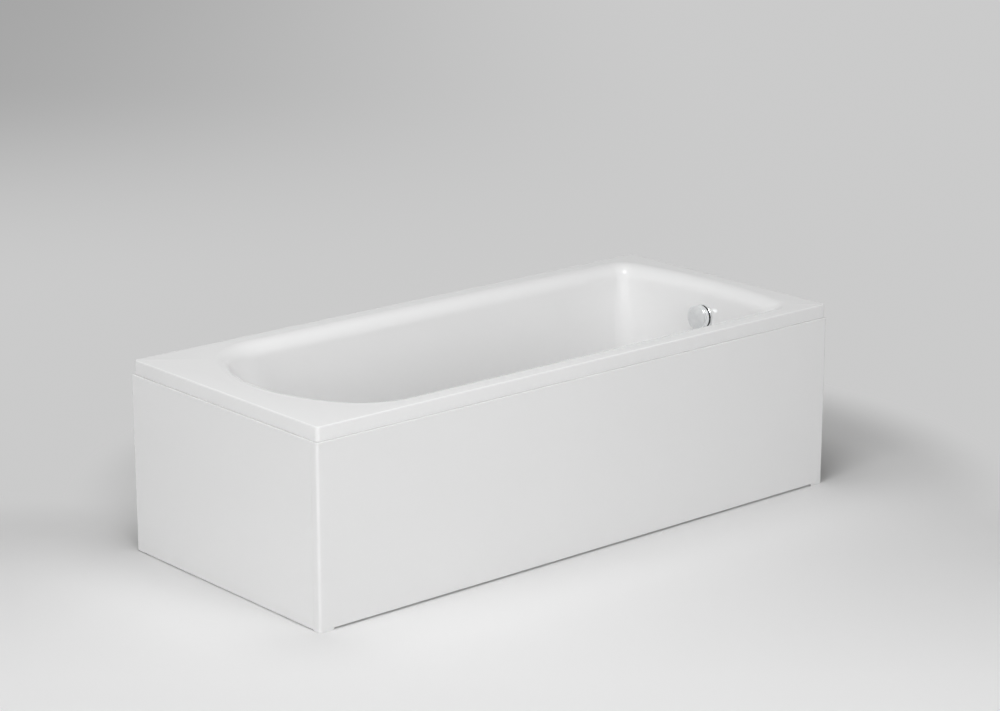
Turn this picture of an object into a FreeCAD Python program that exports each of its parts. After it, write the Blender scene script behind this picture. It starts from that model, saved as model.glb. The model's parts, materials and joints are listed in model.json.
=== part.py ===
import FreeCAD, Part
import math
import os
import Sketcher
from types import SimpleNamespace

# Rectangular bath with a front panel and a panel at the head end, in millimetres.
# The origin is on the floor at the centre of the footprint. +X runs to the drain end, +Y to the back, +Z up.

SIZES = (
    # bath shell
    ("tub_length", 1700.0, "rim, head end to drain end"),
    ("tub_width", 750.0, "rim, front to back"),
    ("tub_height", 500.0, "floor to the top of the rim"),
    ("floor_height", 140.0, "floor of the room to the basin floor"),
    ("shell_wall", 6.0, "thickness of the shell"),
    ("rim_height", 36.0, "height of the turned-down rim"),
    ("rim_corner", 10.0, "upright corner radius of the rim"),
    ("rim_edge", 4.0, "radius along the outer top edge"),
    ("side_deck", 75.0, "rim edge to the side wall line"),
    ("head_deck", 104.0, "rim edge to the head wall line"),
    ("drain_deck", 75.0, "rim edge to the drain wall line"),
    ("side_lean", 44.0, "run of a side wall from top to floor"),
    ("head_lean", 228.0, "run of the backrest from top to floor"),
    ("drain_lean", 31.0, "run of the drain wall from top to floor"),
    ("head_corner_top", 150.0, "head corner radius at the rim"),
    ("head_corner_floor", 140.0, "head corner radius at the floor"),
    ("drain_corner_top", 26.0, "drain corner radius at the rim"),
    ("drain_corner_floor", 70.0, "drain corner radius at the floor"),
    ("head_bow", 33.0, "half angle of the bowed head wall, degrees"),
    ("drain_bow", 12.0, "half angle of the bowed drain wall, degrees"),
    ("opening_radius", 42.0, "rolled edge between deck and basin"),
    ("floor_radius", 60.0, "radius between basin wall and floor"),
    # holes in the shell
    ("waste_setback", 260.0, "rim at the drain end to the waste centre"),
    ("waste_hole", 30.0, "radius of the waste hole"),
    ("waste_recess", 39.0, "radius of the recess round the waste"),
    ("waste_recess_depth", 3.0, "depth of that recess"),
    ("waste_boss", 45.0, "radius of the boss under the recess"),
    ("overflow_drop", 97.0, "top of the rim to the overflow centre"),
    ("overflow_hole", 27.0, "radius of the overflow hole"),
    # battens and board
    ("batten_height", 18.0, "height of a rim batten"),
    ("batten_gap", 0.5, "clearance of a batten from the rim"),
    ("board_thickness", 12.0, "thickness of the base board"),
    ("board_head_inset", 60.0, "head wall line at the floor to the board"),
    ("board_side_inset", 62.0, "side wall line at the floor to the board"),
    ("board_waste_gap", 80.0, "board to the waste centre"),
    # leg bars and feet
    ("bar_width", 40.0, "width of a leg bar"),
    ("bar_height", 25.0, "height of a leg bar"),
    ("bar_sheet", 2.5, "sheet of a leg bar"),
    ("bar_setback", 40.0, "rim to the end of a leg bar"),
    ("bar_distance", 90.0, "end of the board to the middle of a bar"),
    ("foot_setback", 85.0, "rim to the middle of a foot"),
    ("stud_radius", 6.0, "radius of a foot stud"),
    ("stud_spare", 14.0, "stud above its upper nut"),
    ("stud_play", 0.25, "clearance of a stud in its bar"),
    ("nut_radius", 11.0, "corner radius of a lock nut"),
    ("nut_height", 10.0, "height of a lock nut"),
    ("nut_play", 0.1, "clearance of a stud in its nuts and pad"),
    ("pad_radius", 28.0, "radius of a foot pad"),
    ("pad_rim", 6.0, "height of the pad's rim"),
    ("pad_height", 18.0, "height of a foot pad"),
    ("pad_neck", 12.0, "radius of the pad's neck"),
    ("pad_socket", 12.0, "depth of the stud's socket in the pad"),
    # panels
    ("panel_proud", 6.0, "panel face beyond the rim"),
    ("panel_sheet", 4.0, "sheet of a panel"),
    ("panel_return", 24.0, "depth of a panel with its returns"),
    ("panel_rim_gap", 0.5, "gap between rim and panel"),
    ("panel_corner", 7.0, "upright corner radius of the front panel"),
    ("panel_edge", 1.0, "radius along the top of a panel"),
    ("panel_foot", 41.0, "width of a foot of the front panel"),
    ("panel_floor_gap", 5.0, "floor to the front panel between its feet"),
    ("end_floor_gap", 2.0, "floor to the end panel"),
    ("panel_seam", 0.6, "seam between the two panels"),
    ("seam_edge", 0.8, "upright edge radius of the end panel"),
    ("post_width", 20.0, "width of the corner post"),
    # panel clips, brackets and screws
    ("clip_width", 30.0, "width of a panel clip"),
    ("clip_jaw", 4.0, "thickness of the clip's lower jaw"),
    ("clip_web", 8.0, "thickness of the clip behind its mouth"),
    ("clip_grip", 9.0, "depth of the panel inside the mouth"),
    ("clip_play", 0.3, "clearance in the mouth"),
    ("bracket_width", 30.0, "width of a panel bracket"),
    ("bracket_sheet", 3.0, "sheet of a panel bracket"),
    ("bracket_foot", 17.0, "foot of a bracket on the panel"),
    ("bracket_overlap", 22.0, "bracket on top of its bar"),
    ("bracket_gap", 1.0, "panel to the upright of a bracket"),
    ("screw_radius", 2.0, "radius of a screw's shank"),
    ("screw_head", 4.0, "radius of a screw's head"),
    ("screw_head_height", 2.5, "height of a screw's head"),
    ("screw_tip", 3.0, "length of a screw's point"),
    ("screw_bite", 10.0, "screw in wood"),
    ("sheet_bite", 6.0, "screw in and through sheet"),
    ("screw_play", 0.3, "clearance of a screw in its hole"),
    # waste
    ("waste_seal_thick", 1.0, "seal under the waste flange"),
    ("waste_rim", 36.0, "radius of the waste flange"),
    ("waste_rim_thick", 2.0, "thickness of the waste flange"),
    ("waste_dish", 30.5, "radius of the dish in the flange"),
    ("waste_bore", 21.0, "radius of the waste bore"),
    ("waste_neck_wall", 2.0, "wall of the waste neck"),
    ("waste_cone_drop", 4.5, "drop of the dish to the bore"),
    ("waste_throat_gap", 1.0, "clearance of the flange in its hole"),
    ("waste_throat_land", 2.0, "straight part of the flange in its hole"),
    ("waste_throat_drop", 5.0, "flange rim to the end of the throat"),
    ("waste_engage", 12.0, "waste neck inside the waste body"),
    ("waste_gasket_thick", 3.0, "gasket under the shell"),
    ("seal_margin", 1.0, "inset of a seal from what it seals"),
    ("thread_play", 0.15, "clearance of a screwed neck"),
    ("spoke_width", 3.0, "width of a guide spoke"),
    ("spoke_height", 4.0, "height of a guide spoke"),
    ("guide_radius", 7.0, "radius of the stem guide"),
    ("stem_radius", 4.0, "radius of the plug's stem"),
    ("stem_play", 0.15, "clearance of the stem in its guide"),
    ("stem_foot", 10.0, "chamber floor to the end of the stem"),
    ("plug_inset", 1.5, "plug inside the dish"),
    ("plug_gap", 0.6, "flange to the underside of the plug"),
    ("plug_edge", 2.4, "height of the plug's edge"),
    ("plug_crown", 4.2, "height of the plug's crown"),
    ("plug_flat", 18.0, "radius of the flat on the plug"),
    ("plug_seal_inset", 3.0, "plug seal inside the dish"),
    ("plug_seal_inner", 22.0, "inner radius of the plug seal"),
    ("seat_gap", 0.35, "clearance of a seal from its seat"),
    ("body_radius", 33.0, "radius of the waste body"),
    ("body_wall", 4.0, "wall of the waste body"),
    ("body_plate", 3.0, "floor plate of the waste body"),
    ("body_foot", 46.0, "radius of the waste body's foot"),
    ("body_flange", 42.0, "radius of the waste body's top flange"),
    ("body_flange_thick", 3.0, "thickness of that flange"),
    ("chamber_height", 26.0, "height of the waste chamber"),
    ("dip_radius", 22.0, "radius of the dip tube"),
    ("dip_wall", 2.0, "wall of the dip tube"),
    ("dip_gap", 7.0, "dip tube to the trap's floor"),
    ("dip_play", 0.4, "clearance of the dip tube in the trap"),
    ("waste_spigot", 34.0, "overflow spigot on the waste body"),
    # lift lever
    ("lever_reach", 24.0, "lever pin to the middle of the stem"),
    ("lever_tip", 1.0, "lever past the middle of the stem"),
    ("lever_tail", 4.0, "lever behind its pin"),
    ("lever_width", 5.0, "width of the lever"),
    ("lever_height", 4.0, "height of the lever"),
    ("lever_play", 0.4, "clearance between lever and stem"),
    ("pin_radius", 1.2, "radius of the lever pin"),
    ("pin_length", 37.0, "length of the lever pin"),
    ("pin_play", 0.05, "running clearance of the lever pin"),
    # trap and outlet
    ("trap_radius", 52.0, "radius of the trap"),
    ("trap_wall", 3.0, "wall of the trap"),
    ("trap_floor_gap", 12.0, "floor to the trap"),
    ("trap_seal_thick", 1.5, "seal between waste body and trap"),
    ("trap_screw_circle", 41.0, "radius of the trap's screw circle"),
    ("trap_screw_bite", 5.0, "trap screw below the waste body's foot"),
    ("outlet_drop", 23.5, "top of the trap to the outlet's middle"),
    ("outlet_radius", 20.0, "radius of the outlet pipe"),
    ("outlet_wall", 2.0, "wall of the outlet pipe"),
    ("outlet_spigot", 30.0, "outlet spigot on the trap"),
    ("outlet_length", 90.0, "plain length of the outlet pipe"),
    ("socket_length", 24.0, "socket of the outlet pipe over the spigot"),
    ("sleeve_length", 22.0, "length of the outlet sleeve"),
    ("sleeve_thick", 2.0, "thickness of the outlet sleeve"),
    ("sleeve_play", 0.1, "clearance of the outlet sleeve"),
    ("outlet_nut_length", 18.0, "length of the outlet nut"),
    ("outlet_nut_wall", 5.0, "wall of the outlet nut"),
    ("outlet_nut_play", 0.3, "clearance of the outlet nut"),
    # overflow
    ("rosette_radius", 35.0, "radius of the overflow rosette"),
    ("rosette_thick", 4.0, "thickness of the rosette"),
    ("rosette_chamfer", 1.2, "chamfer of the rosette"),
    ("rosette_neck", 25.0, "radius of the rosette's neck"),
    ("rosette_wall", 2.0, "wall of the rosette's neck"),
    ("rosette_seal_thick", 0.8, "seal behind the rosette"),
    ("rosette_seal_gap", 0.6, "clearance of that seal from the bowed wall"),
    ("overflow_gasket_thick", 2.5, "gasket outside the drain wall"),
    ("overflow_engage", 13.0, "rosette's neck inside the overflow body"),
    ("overflow_body_radius", 31.0, "radius of the overflow body"),
    ("overflow_body_wall", 3.5, "wall of the overflow body"),
    ("overflow_body_depth", 46.0, "depth of the overflow body"),
    ("overflow_flange", 38.0, "radius of the overflow body's flange"),
    ("overflow_flange_thick", 4.0, "thickness of that flange"),
    ("overflow_spigot", 20.0, "spigot below the overflow body"),
    ("hub_radius", 8.0, "radius of the rosette's hub"),
    ("hub_length", 8.0, "length of the rosette's hub"),
    ("spindle_radius", 4.0, "radius of the knob's spindle"),
    ("spindle_play", 0.05, "running clearance of the spindle"),
    ("spindle_tail", 3.0, "spindle behind the crank"),
    ("crank_hub", 7.5, "radius of the cable crank's hub"),
    ("crank_thick", 5.0, "thickness of the cable crank"),
    ("crank_width", 6.0, "width of the crank's arm"),
    ("crank_reach", 16.0, "reach of the crank's arm"),
    ("knob_radius", 33.0, "radius of the overflow knob"),
    ("knob_height", 18.0, "height of the knob"),
    ("knob_gap", 4.2, "water gap between rosette and knob"),
    ("knob_wall", 3.0, "wall of the knob's skirt"),
    ("knob_face", 4.0, "thickness of the knob's face"),
    ("knob_chamfer", 1.2, "chamfer of the knob"),
    ("knob_groove_at", 11.5, "knob's open edge to its groove"),
    ("knob_groove_width", 1.5, "width of the groove"),
    ("knob_groove_depth", 1.2, "depth of the groove"),
    ("knob_boss", 7.0, "radius of the knob's boss"),
    ("knob_socket", 10.0, "spindle inside the knob"),
    # overflow pipe and cable
    ("pipe_radius", 14.0, "radius of the overflow pipe"),
    ("pipe_wall", 2.0, "wall of the overflow pipe"),
    ("pipe_bend", 50.0, "bend of the overflow pipe"),
    ("pipe_gap", 1.0, "gap where two pipe ends meet"),
    ("pipe_nut_length", 24.0, "length of a pipe nut"),
    ("pipe_nut_wall", 6.0, "wall of a pipe nut"),
    ("pipe_nut_play", 0.3, "clearance of a pipe nut"),
    ("gland_radius", 6.0, "radius of a cable gland"),
    ("gland_length", 10.0, "length of a cable gland"),
    ("cable_radius", 3.0, "radius of the cable"),
    ("cable_offset", 108.0, "middle of the bath to the cable"),
    ("cable_corner", 26.4, "cut across a corner of the cable's route beside a gland"),
    ("cable_sweep", 50.0, "cut across the route's corner under the basin"),
    ("cable_bend", 35.0, "bend of the cable"),
    # one overrun for every cut
    ("overrun", 5.0, "how far a cutting tool runs past the solid"),
)

# places along a piece, as shares of its length, half width or height
FRONT_CLIP_SHARES = (0.08, 0.36, 0.64, 0.92)
END_CLIP_SHARES = (0.25, 0.75)
BAR_SCREW_SHARES = (-0.75, -0.3, 0.3, 0.75)
POST_SCREW_SHARES = (0.12, 0.5, 0.88)

doc = FreeCAD.newDocument("bathtub")
sheet = doc.addObject("Spreadsheet::Sheet", "dims")
for row, (alias, value, meaning) in enumerate(SIZES, start=1):
    sheet.set(f"A{row}", meaning)
    sheet.set(f"B{row}", str(value))
    sheet.setAlias(f"B{row}", alias)
doc.recompute()


class Size:
    """A size that carries its number and the sheet expression that the number comes from."""

    def __init__(self, number, text):
        self.number = number
        self.text = text

    def __add__(self, other):
        return Size(self.number + number(other), f"({self.text} + {text(other)})")

    def __radd__(self, other):
        return Size(number(other) + self.number, f"({text(other)} + {self.text})")

    def __sub__(self, other):
        return Size(self.number - number(other), f"({self.text} - {text(other)})")

    def __rsub__(self, other):
        return Size(number(other) - self.number, f"({text(other)} - {self.text})")

    def __mul__(self, other):
        return Size(self.number * number(other), f"({self.text} * {text(other)})")

    __rmul__ = __mul__

    def __truediv__(self, other):
        return Size(self.number / number(other), f"({self.text} / {text(other)})")

    def __neg__(self):
        return Size(-self.number, f"(0 - {self.text})")


def number(value):
    return value.number if isinstance(value, Size) else float(value)


def text(value):
    return value.text if isinstance(value, Size) else repr(value)


def angle_of(rise, run):
    """The angle in degrees of a slope."""
    degrees = math.degrees(math.atan2(rise.number, run.number))
    return Size(degrees, f"atan({rise.text} / {run.text})")


def hypotenuse(one, other):
    length = math.hypot(one.number, other.number)
    return Size(length, f"sqrt({one.text} * {one.text} + {other.text} * {other.text})")


d = SimpleNamespace(**{alias: Size(sheet.get(alias), f"dims.{alias}") for alias, value, meaning in SIZES})

# Planes and places that several pieces share
centre_x = d.panel_proud / 2
centre_y = d.panel_proud / 2
x_head = centre_x - d.tub_length / 2
x_drain = centre_x + d.tub_length / 2
y_front = centre_y - d.tub_width / 2
y_back = centre_y + d.tub_width / 2
z_deck_under = d.tub_height - d.shell_wall
z_rim_bottom = d.tub_height - d.rim_height
z_floor = d.floor_height
tub_depth = d.tub_height - z_floor
z_under = z_floor - d.shell_wall
z_batten = z_deck_under - d.batten_height
z_bar_top = z_under - d.board_thickness
z_panel_top = z_rim_bottom - d.panel_rim_gap
x_waste = x_drain - d.waste_setback

# Slope of the drain wall, and a point given by its distance up the wall and out of it
wall_slant = hypotenuse(d.drain_lean, tub_depth)
wall_sine = d.drain_lean / wall_slant
wall_cosine = tub_depth / wall_slant
x_wall = x_drain - d.drain_deck - d.drain_lean * d.overflow_drop / tub_depth
z_overflow = d.tub_height - d.overflow_drop


def on_wall(up, out):
    x = x_wall + up * wall_sine - out * wall_cosine
    z = z_overflow + up * wall_cosine + out * wall_sine
    return (x, centre_y, z)


TOLERANCE = 1e-4
X_AXIS = FreeCAD.Vector(1, 0, 0)
Y_AXIS = FreeCAD.Vector(0, 1, 0)
Z_AXIS = FreeCAD.Vector(0, 0, 1)

# How a piece built upright is turned: an axis and an angle
UPRIGHT = None
TO_DRAIN = (Y_AXIS, 90)
TO_BACK = (X_AXIS, -90)
TO_FRONT = (X_AXIS, 90)
UPSIDE_DOWN = (X_AXIS, 180)
HEAD_SIDE = (Z_AXIS, -90)
OUT_OF_WALL = (-Y_AXIS, angle_of(tub_depth, d.drain_lean))
UP_THE_WALL = (Y_AXIS, angle_of(d.drain_lean, tub_depth))


def bind(piece, name, value):
    """Sets a property from the sheet."""
    if isinstance(value, Size):
        piece.setExpression(name, value.text)


def place(piece, at, turn=UPRIGHT):
    if turn:
        axis, angle = turn
        piece.Placement = FreeCAD.Placement(FreeCAD.Vector(), FreeCAD.Rotation(axis, number(angle)))
        bind(piece, "Placement.Rotation.Angle", angle)
    for axis_name, value in zip("xyz", at):
        bind(piece, f"Placement.Base.{axis_name}", value)
    return piece


def block(name, size, at, turn=UPRIGHT):
    piece = doc.addObject("Part::Box", name)
    for side, value in zip(("Length", "Width", "Height"), size):
        bind(piece, side, value)
    return place(piece, at, turn)


def rod(name, radius, length, at, turn=UPRIGHT):
    piece = doc.addObject("Part::Cylinder", name)
    bind(piece, "Radius", radius)
    bind(piece, "Height", length)
    return place(piece, at, turn)


def new_sketch(body, name, role):
    sketch = body.newObject("Sketcher::SketchObject", name)
    plane = next(item for item in body.Origin.OriginFeatures if item.Role == role)
    sketch.AttachmentSupport = [(plane, "")]
    sketch.MapMode = "FlatFace"
    return sketch


def draw(sketch, outline):
    """Draws a closed outline and ties both coordinates of every corner to the sheet."""
    corners = [FreeCAD.Vector(number(across), number(up), 0) for across, up in outline]
    count = len(corners)
    for i in range(count):
        sketch.addGeometry(Part.LineSegment(corners[i], corners[(i + 1) % count]))
    for i in range(count):
        sketch.addConstraint(Sketcher.Constraint("Coincident", i, 2, (i + 1) % count, 1))
    for i, (across, up) in enumerate(outline):
        for kind, axis, value in (("DistanceX", -2, across), ("DistanceY", -1, up)):
            if isinstance(value, Size):
                constraint = Sketcher.Constraint(kind, -1, 1, i, 1, value.number)
                index = sketch.addConstraint(constraint)
                sketch.setExpression(f"Constraints[{index}]", value.text)
            else:
                sketch.addConstraint(Sketcher.Constraint("PointOnObject", i, 1, axis))


def turned(name, outline, at, turn=UPRIGHT):
    """A body turned about its own axis, from an outline of radii and heights."""
    body = doc.addObject("PartDesign::Body", name)
    sketch = new_sketch(body, f"{name}_outline", "XZ_Plane")
    draw(sketch, outline)
    turning = body.newObject("PartDesign::Revolution", f"{name}_turning")
    turning.Profile = sketch
    turning.ReferenceAxis = (sketch, ["V_Axis"])
    turning.Angle = 360
    return place(body, at, turn)


def ring(name, inner, outer, length, at, turn=UPRIGHT):
    return turned(name, [(inner, 0), (outer, 0), (outer, length), (inner, length)], at, turn)


def padded(name, role, outline, length, at, turn=UPRIGHT):
    """A body padded from an outline, towards +Y from the XZ plane or +X from the YZ plane."""
    body = doc.addObject("PartDesign::Body", name)
    sketch = new_sketch(body, f"{name}_outline", role)
    draw(sketch, outline)
    pad = body.newObject("PartDesign::Pad", f"{name}_pad")
    pad.Profile = sketch
    bind(pad, "Length", length)
    pad.Reversed = role == "XZ_Plane"
    return place(body, at, turn)


def rounded(body, radius, chosen):
    """Adds a fillet to the edges of a body for which chosen is true."""
    doc.recompute()
    base = body.Tip
    names = [f"Edge{i}" for i, edge in enumerate(base.Shape.Edges, start=1) if chosen(edge.BoundBox)]
    fillet = body.newObject("PartDesign::Fillet", f"{base.Name}_round")
    fillet.Base = (base, names)
    bind(fillet, "Radius", radius)
    doc.recompute()


def cut(name, base, tool):
    piece = doc.addObject("Part::Cut", name)
    piece.Base = base
    piece.Tool = tool
    return piece


def fused(name, pieces):
    piece = doc.addObject("Part::MultiFuse", name)
    piece.Shapes = pieces
    return piece


def group(name, pieces):
    piece = doc.addObject("Part::Compound", name)
    piece.Links = pieces
    return piece


def screw(name, grip, at, turn):
    """A screw whose head's outer face is at the given point and whose shank runs on from there."""
    end = d.screw_head_height + grip
    outline = [
        (0, 0),
        (d.screw_head, 0),
        (d.screw_head, d.screw_head_height),
        (d.screw_radius, d.screw_head_height),
        (d.screw_radius, end - d.screw_tip),
        (0, end),
    ]
    return turned(name, outline, at, turn)


def route(points, bend):
    """Straight runs between points, joined by tangent arcs."""
    edges = []
    start = points[0]
    for corner, beyond in zip(points[1:-1], points[2:]):
        arriving = (corner - start).normalize()
        leaving = (beyond - corner).normalize()
        turn = arriving.getAngle(leaving)
        setback = bend * math.tan(turn / 2)
        first = corner - arriving * setback
        last = corner + leaving * setback
        inward = (leaving - arriving).normalize()
        middle = corner + inward * (bend / math.cos(turn / 2) - bend)
        edges.append(Part.LineSegment(start, first).toShape())
        edges.append(Part.Arc(first, middle, last).toShape())
        start = last
    edges.append(Part.LineSegment(start, points[-1]).toShape())
    return Part.Wire(edges)


def swept(path, radius):
    start = path.Vertexes[0].Point
    direction = path.Edges[0].tangentAt(path.Edges[0].FirstParameter)
    section = Part.Wire(Part.Circle(start, direction, radius.number).toShape())
    return path.makePipeShell([section], True, False)


def vector(point):
    return FreeCAD.Vector(*(number(value) for value in point))


subparts = []


def keep(label, piece):
    """Marks a finished piece as a sub-part under its own label."""
    piece.Label = label
    subparts.append(piece)
    return piece


# Bath shell, built about the middle of its rim
def arc(x, y, radius, start, end):
    circle = Part.Circle(FreeCAD.Vector(x, y, 0), Z_AXIS, radius)
    return Part.Arc(circle, math.radians(start), math.radians(end)).toShape()


def basin_outline(half, head, drain, head_corner, drain_corner, height):
    """Plan of the basin: straight sides, a bowed wall at each end and a round corner between them."""
    head_bow = d.head_bow.number
    drain_bow = d.drain_bow.number
    head_radius = head_corner + (half - head_corner) / math.sin(math.radians(head_bow))
    drain_radius = drain_corner + (half - drain_corner) / math.sin(math.radians(drain_bow))
    head_x = head + head_radius - (head_radius - head_corner) * math.cos(math.radians(head_bow))
    drain_x = drain - drain_radius + (drain_radius - drain_corner) * math.cos(math.radians(drain_bow))
    front_line = Part.LineSegment(FreeCAD.Vector(head_x, -half, 0), FreeCAD.Vector(drain_x, -half, 0))
    back_line = Part.LineSegment(FreeCAD.Vector(drain_x, half, 0), FreeCAD.Vector(head_x, half, 0))
    edges = [
        front_line.toShape(),
        arc(drain_x, drain_corner - half, drain_corner, -90, -drain_bow),
        arc(drain - drain_radius, 0, drain_radius, -drain_bow, drain_bow),
        arc(drain_x, half - drain_corner, drain_corner, drain_bow, 90),
        back_line.toShape(),
        arc(head_x, half - head_corner, head_corner, 90, 180 - head_bow),
        arc(head + head_radius, 0, head_radius, 180 - head_bow, 180 + head_bow),
        arc(head_x, head_corner - half, head_corner, 180 + head_bow, 270),
    ]
    wire = Part.Wire(edges)
    wire.translate(FreeCAD.Vector(0, 0, height))
    return wire


def basin(grow, bottom, radius):
    """The basin as a solid with a rounded floor, grown outwards by a wall."""
    half = d.tub_width.number / 2 - d.side_deck.number + grow
    head = d.head_deck.number - d.tub_length.number / 2 - grow
    drain = d.tub_length.number / 2 - d.drain_deck.number + grow
    top_outline = basin_outline(
        half, head, drain, d.head_corner_top.number + grow, d.drain_corner_top.number + grow, d.tub_height.number
    )
    floor_outline = basin_outline(
        half - d.side_lean.number,
        head + d.head_lean.number,
        drain - d.drain_lean.number,
        d.head_corner_floor.number + grow,
        d.drain_corner_floor.number + grow,
        bottom,
    )
    solid = Part.makeLoft([floor_outline, top_outline], True, True)
    return solid.makeFillet(radius, level_edges(solid, bottom))


def level_edges(shape, height, reach=math.inf):
    """Edges that lie flat at a height and no further than reach from the middle."""
    found = []
    for edge in shape.Edges:
        box = edge.BoundBox
        flat = abs(box.ZMin - height) < TOLERANCE and abs(box.ZMax - height) < TOLERANCE
        if flat and max(-box.XMin, box.XMax) < reach:
            found.append(edge)
    return found


def upright_edges(shape):
    return [edge for edge in shape.Edges if edge.BoundBox.ZLength > edge.BoundBox.DiagonalLength - TOLERANCE]


def rim_block(inset, bottom, top):
    """The rim's box with rounded upright corners, drawn in by an inset."""
    length = d.tub_length.number - 2 * inset
    width = d.tub_width.number - 2 * inset
    corner = FreeCAD.Vector(-length / 2, -width / 2, bottom)
    solid = Part.makeBox(length, width, top - bottom, corner)
    return solid.makeFillet(d.rim_corner.number - inset, upright_edges(solid))


def waste_cylinder(radius, bottom, top):
    at = FreeCAD.Vector(d.tub_length.number / 2 - d.waste_setback.number, 0, bottom.number)
    return Part.makeCylinder(radius.number, top.number - bottom.number, at)


def tub_shell():
    wall = d.shell_wall.number
    top = d.tub_height.number
    rim = rim_block(0, z_rim_bottom.number, top)
    rim = rim.makeFillet(d.rim_edge.number, level_edges(rim, top))
    rim = rim.cut(rim_block(wall, (z_rim_bottom - d.overrun).number, z_deck_under.number))
    shell = rim.fuse(basin(wall, z_under.number, d.floor_radius.number + wall)).removeSplitter()
    inside_rim = d.tub_length.number / 2 - 2 * wall
    roll = level_edges(shell, z_deck_under.number, inside_rim)
    shell = shell.makeFillet(d.opening_radius.number - wall, roll)
    shell = shell.fuse(waste_cylinder(d.waste_boss, z_under - d.waste_recess_depth, z_floor))
    shell = shell.cut(basin(0, z_floor.number, d.floor_radius.number)).removeSplitter()
    shell = shell.makeFillet(d.opening_radius.number, level_edges(shell, top, inside_rim))
    shell = shell.cut(waste_cylinder(d.waste_recess, z_floor - d.waste_recess_depth, z_floor + d.overrun))
    shell = shell.cut(waste_cylinder(d.waste_hole, z_under - d.waste_recess_depth - d.overrun, z_floor))
    through = d.shell_wall + d.overrun * 2
    start = vector(on_wall(0, -d.shell_wall - d.overrun)) - vector((centre_x, centre_y, 0))
    out_of_wall = FreeCAD.Vector(-wall_cosine.number, 0, wall_sine.number)
    shell = shell.cut(Part.makeCylinder(d.overflow_hole.number, through.number, start, out_of_wall))
    piece = doc.addObject("Part::Feature", "tub_shell")
    piece.Shape = shell
    return place(piece, (centre_x, centre_y, 0))


keep("tub_shell", tub_shell())


# Battens bonded under the deck, as wide as the flat of the deck at the drain end
batten_width = d.drain_deck - d.opening_radius - d.shell_wall - d.batten_gap
batten_inset = d.shell_wall + d.batten_gap
long_batten = (d.tub_length - 2 * d.rim_corner, batten_width, d.batten_height)
short_batten = (batten_width, d.tub_width - 2 * (batten_inset + batten_width), d.batten_height)
y_short_batten = y_front + batten_inset + batten_width
batten_places = (
    ("rim_batten_front", long_batten, (x_head + d.rim_corner, y_front + batten_inset, z_batten)),
    ("rim_batten_back", long_batten, (x_head + d.rim_corner, y_back - batten_inset - batten_width, z_batten)),
    ("rim_batten_head", short_batten, (x_head + batten_inset, y_short_batten, z_batten)),
    ("rim_batten_drain", short_batten, (x_drain - batten_inset - batten_width, y_short_batten, z_batten)),
)
for label, size, corner in batten_places:
    keep(label, block(label, size, corner))

# Board bonded under the basin floor
board_start = x_head + d.head_deck + d.head_lean + d.board_head_inset
board_end = x_waste - d.board_waste_gap
board_half = d.tub_width / 2 - d.side_deck - d.side_lean - d.board_side_inset
board_size = (board_end - board_start, board_half * 2, d.board_thickness)
keep("base_board", block("base_board", board_size, (board_start, centre_y - board_half, z_bar_top)))

# Leg bars: channels of folded sheet, open below
BARS = (("head", board_start + d.bar_distance), ("drain", board_end - d.bar_distance))
SIDES = (("front", -1), ("back", 1))
bar_outline = [
    (0, 0),
    (d.bar_sheet, 0),
    (d.bar_sheet, d.bar_height - d.bar_sheet),
    (d.bar_width - d.bar_sheet, d.bar_height - d.bar_sheet),
    (d.bar_width - d.bar_sheet, 0),
    (d.bar_width, 0),
    (d.bar_width, d.bar_height),
    (0, d.bar_height),
]
bar_length = d.tub_width - d.bar_setback * 2
foot_spread = d.tub_width / 2 - d.foot_setback
y_bar = y_front + d.bar_setback
z_web = z_bar_top - d.bar_sheet
bar_screws = []
for end, x_bar in BARS:
    corner = (x_bar - d.bar_width / 2, y_bar, z_bar_top - d.bar_height)
    channel = padded(f"leg_bar_{end}_channel", "XZ_Plane", bar_outline, bar_length, corner)
    holes = []
    for side, sign in SIDES:
        at = (x_bar, centre_y + foot_spread * sign, z_web - d.overrun)
        hole_length = d.bar_sheet + d.overrun * 2
        holes.append(rod(f"stud_hole_{end}_{side}", d.stud_radius + d.stud_play, hole_length, at))
    for i, share in enumerate(BAR_SCREW_SHARES):
        y_screw = centre_y + board_half * share
        at = (x_bar, y_screw, z_web - d.overrun)
        holes.append(rod(f"bar_hole_{end}_{i}", d.screw_radius + d.screw_play, hole_length, at))
        at = (x_bar, y_screw, z_web - d.screw_head_height)
        bar_screws.append(screw(f"bar_screw_{end}_{i}", d.bar_sheet + d.screw_bite, at, UPRIGHT))
    keep(f"leg_bar_{end}", cut(f"leg_bar_{end}", channel, group(f"leg_bar_{end}_holes", holes)))
keep("leg_bar_screws", group("leg_bar_screws", bar_screws))

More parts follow.
